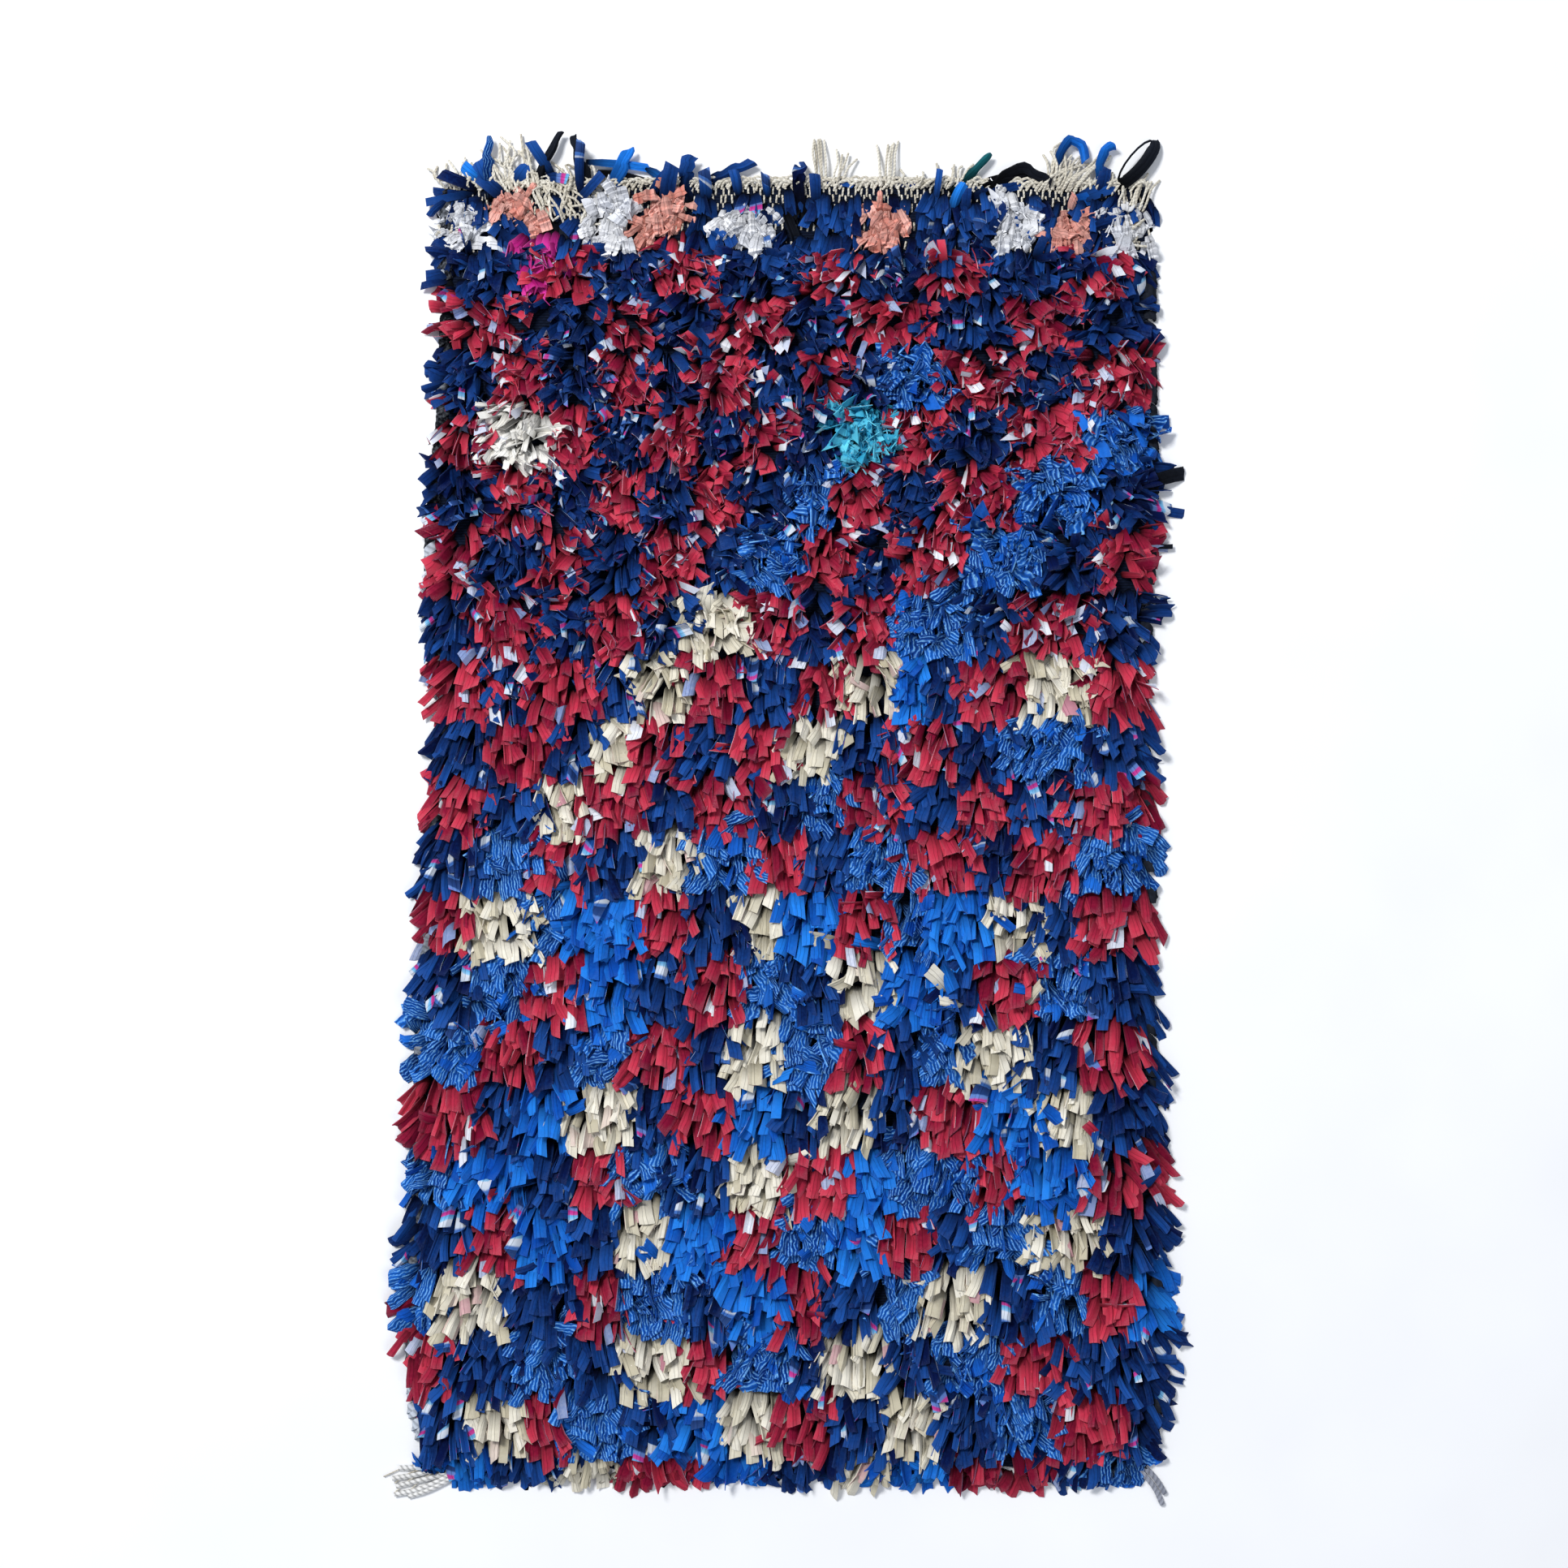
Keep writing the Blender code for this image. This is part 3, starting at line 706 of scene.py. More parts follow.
def read_blank(piece: bpy.types.Object, stations: int, is_tube: bool) -> Blank:
    """Reads a modelled unit piece into arrays and removes it.

    Args:
        piece: the unit piece, a strip that runs along Y or a tube that runs along Z.
        stations: how many equal steps it has along its length.
        is_tube: whether it is a tube.

    Returns:
        The blank.
    """
    mesh = piece.data
    points = np.array([v.co for v in mesh.vertices])
    run = points[:, 2 if is_tube else 1]
    station = np.rint((run - run.min()) / (run.max() - run.min()) * stations).astype(int)
    across, lift = points[:, 0], points[:, 1 if is_tube else 2]
    loop_vertex = np.array([loop.vertex_index for loop in mesh.loops])
    face_sizes = np.array([len(face.vertices) for face in mesh.polygons])
    bake, turns, at = np.zeros((len(loop_vertex), 2)), across[loop_vertex], 0
    for count in face_sizes:
        ids = loop_vertex[at:at + count]
        flat_end = station[ids].min() == station[ids].max()
        v = 0.06 + 0.88 * station[ids] / stations
        if is_tube:
            turn = np.arctan2(lift[ids], across[ids]) / (2.0 * math.pi) % 1.0
            turn = np.where(turn < turn.max() - 0.5, turn + 1.0, turn)
            turns[at:at + count] = turn
            u = 0.03 + 0.94 * turn / 1.001
            if flat_end:
                u = 0.5 + 0.02 * np.cos(2.0 * math.pi * turn)
                v = (0.03 if station[ids][0] == 0 else 0.97) + 0.02 * np.sin(2.0 * math.pi * turn)
        else:
            half, above = across[ids] + 0.5, lift[ids] > 0.0
            u = np.where(above, 0.04 + 0.42 * half, 0.96 - 0.42 * half)
            if above.any() and not above.all():
                if flat_end:
                    u = 0.04 + 0.42 * half
                    v = (0.955 if station[ids][0] else 0.015) + np.where(above, 0.0, 0.03)
                else:
                    u = np.where(above, *((0.47, 0.53) if half.mean() > 0.5 else (0.03, 0.004)))
        bake[at:at + count, 0], bake[at:at + count, 1] = u, v
        at += count
    blank = Blank(
        stations, across.copy(), lift.copy(), station, loop_vertex, face_sizes, bake, turns, is_tube)
    bpy.data.objects.remove(piece, do_unlink=True)
    return blank


def strip_blank(columns: int, stations: int) -> Blank:
    """A flat strip one unit wide, long and thick: a grid given its thickness.

    Args:
        columns: faces across it.
        stations: faces along it.

    Returns:
        The blank.
    """
    bpy.ops.object.select_all(action="DESELECT")
    bpy.ops.mesh.primitive_grid_add(x_subdivisions=columns, y_subdivisions=stations, size=1.0)
    piece = bpy.context.object
    thick = piece.modifiers.new("Thickness", "SOLIDIFY")
    thick.thickness, thick.offset, thick.use_even_offset = 1.0, 0.0, False
    bpy.ops.object.modifier_apply(modifier=thick.name)
    return read_blank(piece, stations, False)


def tube_blank(sides: int, stations: int) -> Blank:
    """A yarn one unit thick and long: a disc extruded step by step.

    Args:
        sides: faces round it.
        stations: steps along it.

    Returns:
        The blank.
    """
    bpy.ops.object.select_all(action="DESELECT")
    bpy.ops.mesh.primitive_circle_add(vertices=sides, radius=0.5, fill_type="NGON")
    piece = bpy.context.object
    bpy.ops.object.mode_set(mode="EDIT")
    bpy.ops.mesh.select_all(action="SELECT")
    for _ in range(stations):
        bpy.ops.mesh.extrude_region_move(TRANSFORM_OT_translate={"value": (0.0, 0.0, 1.0 / stations)})
    bpy.ops.mesh.select_all(action="SELECT")
    bpy.ops.mesh.normals_make_consistent(inside=False)
    bpy.ops.object.mode_set(mode="OBJECT")
    return read_blank(piece, stations, True)


@dataclass
class Bundle:
    """Copies of a blank to be bent: each array has a row for each copy."""
    blank: Blank
    centre: np.ndarray
    side: np.ndarray
    width: np.ndarray
    depth: np.ndarray
    tint: np.ndarray
    arch: np.ndarray | None = None
    pleat: np.ndarray | None = None
    phase: np.ndarray | None = None
    slant: np.ndarray | None = None
    turned: np.ndarray | None = None
    printed: np.ndarray | None = None

    def __post_init__(self) -> None:
        """Fills what isn't given: no folds, face up, not printed."""
        none = np.zeros(len(self.tint))
        for title in ("arch", "pleat", "phase", "slant", "turned", "printed"):
            if getattr(self, title) is None:
                setattr(self, title, none)
        spread = np.ones(self.centre.shape[:2])
        self.width, self.depth = spread * self.width, spread * self.depth

    def bend(self) -> np.ndarray:
        """Bends the copies along their routes.

        Returns:
            Every copy's points, as an array of copies, vertices and X, Y, Z.
        """
        blank, at = self.blank, self.blank.station
        ahead = unit(np.gradient(self.centre, axis=1))
        side = unit(self.side - (self.side * ahead).sum(-1, keepdims=True) * ahead)
        up = np.cross(side, ahead)
        middle, right, over, onward = self.centre[:, at], side[:, at], up[:, at], ahead[:, at]
        width, thick = self.width[:, at], self.depth[:, at] * blank.lift
        if blank.is_tube:
            return middle + right * (width * blank.across)[..., None] + over * thick[..., None]
        arch = np.where(np.abs(self.arch) < 0.02, 0.02, self.arch)[:, None]
        turn = arch * blank.across
        lateral = (width / arch + thick) * np.sin(turn)
        raised = width * (np.cos(turn) - np.cos(0.25 * arch)) / arch + thick * np.cos(turn)
        wave = np.sin(2.0 * math.pi * (1.1 * blank.across + self.phase[:, None]))
        raised = raised + self.pleat[:, None] * width * wave
        slide = self.slant[:, None] * blank.across * width * (at / blank.stations) ** 5
        return middle + right * lateral[..., None] + over * raised[..., None] + onward * slide[..., None]


def unit(vectors: np.ndarray) -> np.ndarray:
    """Vectors scaled to length one."""
    return vectors / np.maximum(np.linalg.norm(vectors, axis=-1, keepdims=True), 1e-9)


def places(x: np.ndarray | float, y: np.ndarray | float, z: np.ndarray | float) -> np.ndarray:
    """Places from their coordinates."""
    return np.stack(np.broadcast_arrays(x, y, z), -1)


def ramp(values: np.ndarray, start: float, end: float) -> np.ndarray:
    """How far values are from a start to an end, held from 0 to 1."""
    return np.clip((values - start) / (end - start), 0.0, 1.0)


def weave_mesh(name: str, parts: list[Bundle], rng: np.random.Generator) -> bpy.types.Object:
    """Joins bent copies into one mesh object with its maps and dye attributes.

    Args:
        name: the object's name.
        parts: the bundles to join.
        rng: the source of each copy's shift along its cloth.

    Returns:
        The new object.
    """
    cells = math.ceil(math.sqrt(sum(len(bundle.tint) for bundle in parts)))
    points, loops, sizes, cloth, bake, dye, edge = ([] for _ in range(7))
    base = cell = 0
    for bundle in parts:
        blank, count = bundle.blank, len(bundle.tint)
        shape = (count, len(blank.across))
        bent = bundle.bend()
        bent[..., 2] = np.clip(bent[..., 2], FLOOR_GAP, CEILING)
        points.append(bent.reshape(-1, 3))
        loops.append((base + np.arange(count)[:, None] * shape[1] + blank.loop_vertex[None, :]).ravel())
        sizes.append(np.tile(blank.face_sizes, count))
        along = blank.station / blank.stations
        run = np.linalg.norm(np.diff(bundle.centre, axis=1), axis=-1).sum(1)[:, None] / MM
        breadth = 1.0 if blank.is_tube else bundle.width.max(1)[:, None] / MM
        u = blank.loop_turn[None, :] * breadth + np.zeros((count, 1))
        v = along[blank.loop_vertex][None, :] * run + rng.uniform(0.0, 40.0, count)[:, None]
        cloth.append(np.stack([u, v], -1).reshape(-1, 2))
        index = cell + np.arange(count)
        corner = np.stack([index % cells, index // cells], -1)[:, None, :]
        bake.append(((corner + blank.bake_uv[None]) / cells).reshape(-1, 2))
        below = (blank.lift < 0.0)[None, :] != (bundle.turned > 0.5)[:, None]
        columns = bundle.tint[:, None], below & (not blank.is_tube), bundle.printed[:, None], along[None]
        dye.append(np.stack([np.broadcast_to(c, shape) for c in columns], -1).reshape(-1, 4))
        rim = np.maximum(np.abs(blank.across) * 2.0, along) ** 6 * (not blank.is_tube)
        edge.append(np.broadcast_to(rim[None], shape).ravel())
        base += count * shape[1]
        cell += count
    mesh = bpy.data.meshes.new(name)
    vertices, corners, flat_sizes = np.concatenate(points), np.concatenate(loops), np.concatenate(sizes)
    mesh.vertices.add(len(vertices))
    mesh.vertices.foreach_set("co", vertices.ravel())
    mesh.loops.add(len(corners))
    mesh.loops.foreach_set("vertex_index", corners.astype(np.int32))
    mesh.polygons.add(len(flat_sizes))
    mesh.polygons.foreach_set("loop_start", (np.cumsum(flat_sizes) - flat_sizes).astype(np.int32))
    mesh.update(calc_edges=True)
    for title, values in ((BAKE_UV, bake), (CLOTH_UV, cloth)):
        layer = mesh.uv_layers.new(name=title)
        layer.data.foreach_set("uv", np.concatenate(values).astype(np.float32).ravel())
    colours = mesh.attributes.new(DYE, "FLOAT_COLOR", "POINT")
    colours.data.foreach_set("color", np.concatenate(dye).astype(np.float32).ravel())
    rims = mesh.attributes.new(CUT_EDGE, "FLOAT", "POINT")
    rims.data.foreach_set("value", np.concatenate(edge).astype(np.float32))
    mesh.validate()
    made = bpy.data.objects.new(name, mesh)
    bpy.context.scene.collection.objects.link(made)
    bpy.ops.object.select_all(action="DESELECT")
    made.select_set(True)
    bpy.context.view_layer.objects.active = made
    bpy.ops.object.shade_smooth_by_angle(angle=math.radians(50.0))
    return made


def smooth_route(points: np.ndarray, stations: int) -> np.ndarray:
    """A smooth curve through a route's points.

    Args:
        points: routes, points and X, Y, Z.
        stations: how many steps the curve is read in.

    Returns:
        Routes, stations + 1 places and X, Y, Z.
    """
    last = points.shape[1] - 1
    before, after = 2 * points[:, :1] - points[:, 1:2], 2 * points[:, -1:] - points[:, -2:-1]
    padded = np.concatenate([before, points, after], 1)
    places = np.linspace(0.0, last, stations + 1)
    step = np.minimum(places.astype(int), last - 1)
    t = (places - step)[None, :, None]
    p0, p1, p2, p3 = (padded[:, step + i] for i in range(4))
    return 0.5 * (2 * p1 + (p2 - p0) * t + (2 * p0 - 5 * p1 + 4 * p2 - p3) * t ** 2
                  + (3 * p1 - p0 - 3 * p2 + p3) * t ** 3)


def yarns(
    blank: Blank, routes: np.ndarray, width: np.ndarray | float, tint: np.ndarray, depth: float | None = None,
) -> Bundle:
    """Yarns along routes.

    Args:
        blank: the unit yarn.
        routes: routes, points and X, Y, Z.
        width: how wide each is.
        tint: each one's tint.
        depth: how thick each is, if it isn't round.

    Returns:
        The bundle.
    """
    centre = smooth_route(routes, blank.stations)
    ahead = unit(centre[:, -1] - centre[:, 0])
    side = np.stack([ahead[:, 1], -ahead[:, 0], np.zeros(len(ahead))], -1)
    side[np.linalg.norm(side, axis=-1) < 0.1] = (1.0, 0.0, 0.0)
    width = np.broadcast_to(np.asarray(width, float), len(tint))[:, None]
    depth = width if depth is None else depth
    return Bundle(blank, centre, np.repeat(side[:, None], blank.stations + 1, 1), width, depth, tint)


# ---------------------------------------------------------------- the pile


@dataclass(frozen=True)
class Layout:
    """Turns a weaver's places into the frame's: across from the centre line, up from the heading."""
    centre: float
    heading: float

    def point(self, across: float, up: float, height: float) -> tuple[float, float, float]:
        """A place in the frame."""
        return (self.centre + across, self.heading + up, height)


@dataclass(frozen=True)
class Stray:
    """A strip that lies apart from its row: its root, direction and size, in millimetres and degrees."""
    across: float
    down: float
    azimuth: float
    length: float
    width: float
    rise: float = 50.0
    tip: float = -20.0
    printed: bool = False


STRAYS: dict[Fabric, tuple[Stray, ...]] = {
    Fabric.NAVY: (
        Stray(-388, 4, 190, 62, 17, 34, -24), Stray(-386, 0, 163, 48, 16, 40, -10),
        Stray(-392, 10, 176, 50, 15, 30, -20), Stray(-378, 14, 205, 40, 16, 40, -20),
        Stray(-352, 12, 140, 42, 19), Stray(-366, 2, 128, 40, 18), Stray(-372, -2, 120, 30, 15, printed=True),
        Stray(-340, -2, 60, 32, 18), Stray(-292, -16, 128, 50, 15, 50, 6),
        Stray(-304, -14, -4, 34, 17, 40, -10, True), Stray(-256, 10, 96, 66, 12, 40, 0, True),
        Stray(-262, 18, 38, 50, 14, 50, -10), Stray(-292, 10, -70, 36, 20, 60, -60),
        Stray(-170, 12, 70, 44, 17), Stray(-150, 20, 84, 52, 20, 66, 10),
        Stray(-358, 30, -60, 66, 15, 46, -50), Stray(-346, 28, -58, 64, 14, 50, -54),
        Stray(-362, 52, -34, 44, 21, 42, -18, True), Stray(-262, 34, -84, 36, 18, 62, -40, True),
        Stray(-150, 52, -100, 46, 16, 60, -40), Stray(-100, 16, 92, 40, 17, 60, 0, True),
        Stray(-60, 10, 96, 34, 16, 60, 0), Stray(-24, 12, 100, 30, 14, 60, 0, True),
        Stray(36, 22, 92, 40, 14, 50, -10), Stray(38, -6, 8, 46, 10, 12, -8),
        Stray(120, -7, -3, 50, 10, 12, -8), Stray(160, -4, 6, 42, 9, 14, -10),
        Stray(184, 20, 84, 44, 9, 50, -6), Stray(222, 34, 95, 34, 12, 60, -10),
        Stray(226, 12, 10, 80, 15, 22, -20), Stray(244, 70, 62, 56, 13, 40, 0),
        Stray(168, 44, -92, 42, 15, 56, -40, True), Stray(338, 18, -112, 70, 18, 46, -52),
        Stray(356, 16, 20, 60, 19, 40, -30), Stray(372, 50, 32, 56, 21, 40, -20),
        Stray(366, 52, 10, 58, 18, 40, -20), Stray(384, 12, 60, 40, 16, 50, -20),
        Stray(424, 388, -14, 56, 19, 42, -30, True), Stray(432, 392, -18, 66, 15, 24, -30),
        Stray(446, 1398, -8, 48, 22, 46, -30), Stray(-268, 1566, -96, 64, 19, 36, -44),
        Stray(-258, 1570, -82, 58, 19, 36, -44),
    ),
    Fabric.BLUE: (
        Stray(-372, -4, 150, 40, 16), Stray(-250, -32, -4, 80, 11, 10, -6),
        Stray(-176, -24, -26, 50, 12, 20, -16), Stray(204, 32, 82, 42, 18, 60, -10),
        Stray(226, 0, 14, 74, 14, 22, -22), Stray(348, 20, 12, 50, 18, 40, -30),
    ),
    Fabric.DARK_LOOP: (
        Stray(-236, -20, -8, 74, 12, 16, -10), Stray(236, -4, 8, 70, 14, 26, -26),
        Stray(440, 372, 24, 60, 17, 42, -34), Stray(446, 446, -4, 34, 6, 30, -20),
    ),
    Fabric.RED: (
        Stray(-452, 1372, 208, 56, 22, 34, -36),
    ),
    Fabric.MAGENTA: (
        Stray(-436, 1505, 232, 36, 20, 50, -30),
    ),
    Fabric.WHITE: (
        Stray(-404, 30, 172, 30, 20, 20, -24), Stray(-400, 44, 184, 30, 20, 20, -24),
        Stray(-402, 36, 160, 30, 18, 26, -20), Stray(-406, 60, 186, 30, 20, 20, -24),
        Stray(-402, 74, 178, 30, 20, 20, -24), Stray(-400, 52, 10, 40, 18, 24, -10),
        Stray(-398, 68, -8, 40, 18, 24, -10), Stray(412, 40, -6, 40, 16, 30, -30),
        Stray(410, 30, 14, 40, 14, 30, -30), Stray(408, 80, 0, 42, 16, 30, -30),
        Stray(406, 70, 16, 40, 14, 30, -30),
    ),
    Fabric.CREAM: (
        Stray(206, 1006, 122, 58, 18, 60, 10), Stray(290, 1024, 60, 50, 18, 60, 10),
        Stray(226, 1020, 160, 46, 17, 60, 6), Stray(-110, 534, 74, 46, 18, 60, 10),
        Stray(-90, 540, 108, 44, 18, 60, 10),
    ),
}


@dataclass(frozen=True)
class Nap:
    """How the strips lie: pairs of the value where the nap is combed and what a messy knot adds."""
    fan: tuple[float, float] = (0.17, 0.20)          # how far a block's strips spread to its sides
    side_fan: tuple[float, float] = (0.85, 0.95)     # how far strips by a selvedge point outwards
    turn: tuple[float, float] = (5.0, 36.0)          # how far each knot is turned, in degrees
    astray: tuple[float, float] = (0.06, 0.01)       # share of strips that point well away
    length: tuple[float, float] = (1.0, -0.37)
    width: tuple[float, float] = (1.0, 0.16)
    root: tuple[float, float] = (0.0050, 0.0015)     # how far roots lie off their row
    roll: tuple[float, float] = (0.26, 0.42)         # how far a strip leans to one side
    twist: tuple[float, float] = (0.30, 0.42)        # how far it turns along its length
    pleat: tuple[float, float] = (1.0, 1.0)
    slant: tuple[float, float] = (1.0, 0.3)
    block_fan: float = 0.12                          # how far whole blocks lie to one side
    back: float = 0.62                               # how far a messy block's first row lies back
    back_less: float = 0.70                          # how much less its last row does
    ends_apart: tuple[float, float] = (2.0, 9.0)     # degrees between a knot's strip ends
    astray_turn: float = 50.0                        # how far astray a strip points, in degrees
    swerve: float = 12.0                             # how far a strip bends sideways, in degrees
    messy_rise: float = 4.0                          # degrees steeper that messy strips leave their knots
    fallen: tuple[float, float] = (16.0, 56.0)       # degrees flatter by the edges, at the knot and the tip
    band_low: tuple[float, float] = (10.0, 16.0)     # degrees flatter in the band, at the knot and the tip
    reach: float = 0.80                              # how far a strip reaches, as a share of its length
    gathered: float = 0.62                           # width at the knot, as a share

    def at(self, title: str, messy: np.ndarray | float) -> np.ndarray | float:
        """One value at some messiness."""
        plain, added = getattr(self, title)
        return plain + added * messy


@dataclass
class Pile:
    """The knotted rag pile."""
    layout: Layout
    ground: Outline
    reach: Outline
    rng: np.random.Generator
    nap: Nap = Nap()
    first_row: float = 0.012         # heading edge to the first row of knots
    nap_lead: float = 0.014          # how far above its visible block a knot sits
    root_height: float = 0.0045
    top: float = 0.045
    bare_side: float = 0.016         # how far the pile stops short of the left selvedge near the hem
    bare_from: float = 1.44          # where down the rug that starts, and the last row that it is for
    bare_to: float = 1.58
    rag_lift: float = 0.012          # how far the cotton bunches of the band stand above the rest
    proud: float = 0.009             # how far tips may pass the CAD pile's outline
    length: float = 1.60
    messy_until: float = 0.66        # down the rug; above it the nap is brushed every way
    messy_fade: float = 0.24
    thicker: float = 0.54            # how many more strip ends a messy knot has
    gathering: float = 0.07          # how far a messy block's knots draw towards its middle
    bunching: float = 0.34           # how far the band's cotton knots do
    side_from: float = 0.93          # share of the half width where strips start to point outwards
    full_from: float = 0.95          # share of it where knots are as full as messy ones
    hem_from: float = 0.075          # how far above the hem strips start to fall over it
    hem_to: float = 0.015
    root_step: float = 0.004         # how far apart a knot's strip ends are
    arched_under: float = 0.24       # share of strips that curl under and not over
    band_shorter: float = 0.34       # how much shorter the band's smooth rags are
    made: dict[str, bpy.types.Object] = field(default_factory=dict)

    def __post_init__(self) -> None:
        """Models the two unit strips."""
        self.plain_strip = strip_blank(3, 4)
        self.ruffled_strip = strip_blank(3, 8)

    def knots(self) -> dict[str, np.ndarray]:
        """Places every knot of the chart.

        Returns:
            Columns x, y, down, fabric, place, row, block, band, edge, messy and turn, an entry for each knot.
        """
        titles = ("x", "y", "down", "fabric", "place", "row", "block", "band", "edge")
        rows: list[tuple] = []
        down, block = self.first_row, 0
        for number, course in enumerate(CHART):
            pitch = course.depth / course.rows
            runs = course.knots()
            starts = np.cumsum([i == 0 or runs[i][1] < runs[i - 1][1] for i in range(len(runs))])
            for row in range(course.rows):
                at = down + (row + 0.25) * pitch - self.nap_lead * (number >= BAND_COURSES)
                shift = self.rng.uniform(-0.25, 0.25)
                left = float(self.ground.left(self.layout.heading - at))
                right = float(self.ground.right(self.layout.heading - at))
                for i, (fabric, place) in enumerate(runs):
                    share = min(max((i + 0.5 + shift) / len(runs), 0.008), 0.992)
                    x = left + (right - left) * share
                    sway = (1.0 - at / self.length) * (float(self.ground.head(x)) - self.layout.heading)
                    y = self.layout.heading - at + sway
                    rows.append((
                        x + self.rng.normal(0.0, 0.0012), y + self.rng.normal(0.0, 0.0018), at, fabric.value,
                        place, row / max(course.rows - 1, 1), block + starts[i], number < BAND_COURSES,
                        2.0 * share - 1.0))
            down += course.depth
            block += starts[-1]
        made = {title: np.array(column) for title, column in zip(titles, zip(*rows))}
        made["messy"] = np.clip((self.messy_until - made["down"]) / self.messy_fade, 0.0, 1.0)
        made["messy"] *= 1.0 - made["band"]
        made["turn"] = self.rng.normal(0.0, 1.0, len(made["x"]))
        _, block, size = np.unique(made["block"], return_inverse=True, return_counts=True)
        cotton = made["band"] * np.isin(made["fabric"], [Fabric.WHITE.value, Fabric.SALMON.value])
        drawn = self.gathering * made["messy"] + self.bunching * cotton
        for title in ("x", "y"):
            middle = (np.bincount(block, made[title]) / size)[block]
            made[title] += (middle - made[title]) * drawn
        return made

    def lie(self, knots: dict[str, np.ndarray], cut: Cut) -> Bundle:
        """Lays the strip ends of some knots of one fabric.

        Args:
            knots: the knots' columns.
            cut: how the fabric is cut.

        Returns:
            The bundle of its strips.
        """
        rng, nap = self.rng, self.nap
        most = math.ceil(cut.ends * (1.0 + self.thicker))
        fuller = np.maximum(knots["messy"], np.abs(knots["edge"]) > self.full_from)
        ends = np.repeat(cut.ends * (1.0 + self.thicker * fuller), most)
        which = np.tile(np.arange(most), len(knots["x"]))
        keep = which + rng.random(len(which)) < ends
        k = {title: np.repeat(column, most)[keep] for title, column in knots.items()}
        count, beside = keep.sum(), which[keep] - 0.5 * (most - 1)
        blocks, block = np.unique(k["block"], return_inverse=True)
        messy, band = k["messy"], k["band"]

        side_pull = ramp(np.abs(k["edge"]), self.side_from, 1.0)
        onward = 1.0 - messy * (nap.back - nap.back_less * k["row"])
        spread = k["place"] * nap.at("fan", messy) + nap.block_fan * rng.normal(0.0, 1.0, len(blocks))[block]
        spread += np.sign(k["edge"]) * side_pull * nap.at("side_fan", messy)
        azimuth = np.degrees(np.arctan2(-onward, spread))
        azimuth += k["turn"] * (nap.turn[0] + nap.turn[1] * messy * (1.0 - 0.6 * side_pull))
        azimuth += beside * rng.uniform(*nap.ends_apart, count)
        azimuth += rng.normal(0.0, 1.0, count) * cut.scatter
        astray = rng.random(count) < nap.at("astray", messy)
        azimuth += np.where(astray, rng.normal(0.0, nap.astray_turn, count), 0.0)
        azimuth = np.where(rng.random(count) < cut.any_way, rng.uniform(0.0, 360.0, count), azimuth)
        azimuth = np.radians(azimuth)

        length = rng.uniform(*cut.length, count) * nap.at("length", messy)
        length *= 1.0 - self.band_shorter * band * (not cut.ruffled)
        fall = np.maximum(side_pull, ramp(k["down"], self.length - self.hem_from, self.length - self.hem_to))
        rise = rng.uniform(*cut.rise, count) + nap.messy_rise * messy
        rise = rise - nap.fallen[0] * fall - nap.band_low[0] * band
        tip = rng.uniform(*cut.tip, count) + rng.normal(-4.0, 18.0, count) * messy
        tip = tip - nap.fallen[1] * fall - nap.band_low[1] * band
        root = np.stack([
            k["x"] + beside * self.root_step + rng.normal(0.0, 0.0015, count),
            k["y"] + rng.normal(0.0, 1.0, count) * nap.at("root", messy)], -1)
        azimuth = self.held_in(root, azimuth, nap.reach * length, k["down"])
        roll = rng.normal(0.0, nap.roll[0], len(blocks))[block]
        roll = roll + rng.normal(0.0, nap.at("roll", messy), count)
        width = rng.uniform(*cut.width, count) * nap.at("width", messy)
        made = self.fold(cut, root, azimuth, length, np.radians(rise), np.radians(tip), width, roll, messy)
        made.centre[..., 2] += self.rag_lift * (band * cut.ruffled * rng.random(count))[:, None]
        return made

    def held_in(
        self, root: np.ndarray, azimuth: np.ndarray, reach: np.ndarray, down: np.ndarray,
    ) -> np.ndarray:
        """Turns strips so that their tips stay by the pile's sides.

        Args:
            root: each strip's X and Y.
            azimuth: the way it points, in radians.
            reach: how far it reaches.
            down: how far down the rug its knot is.

        Returns:
            The ways that the strips point, in radians.
        """
        tip_y = root[:, 1] + reach * np.sin(azimuth)
        bare = (tip_y < self.layout.heading - self.bare_from) & (down < self.bare_to)
        left = (self.reach.left(tip_y) - self.proud + self.bare_side * bare - root[:, 0]) / reach
        right = (self.reach.right(tip_y) + self.proud - root[:, 0]) / reach
        across = np.clip(np.cos(azimuth), np.clip(left, -1.0, 0.95), np.clip(right, -0.95, 1.0))
        return np.where(np.sin(azimuth) < 0.0, -np.arccos(across), np.arccos(across))

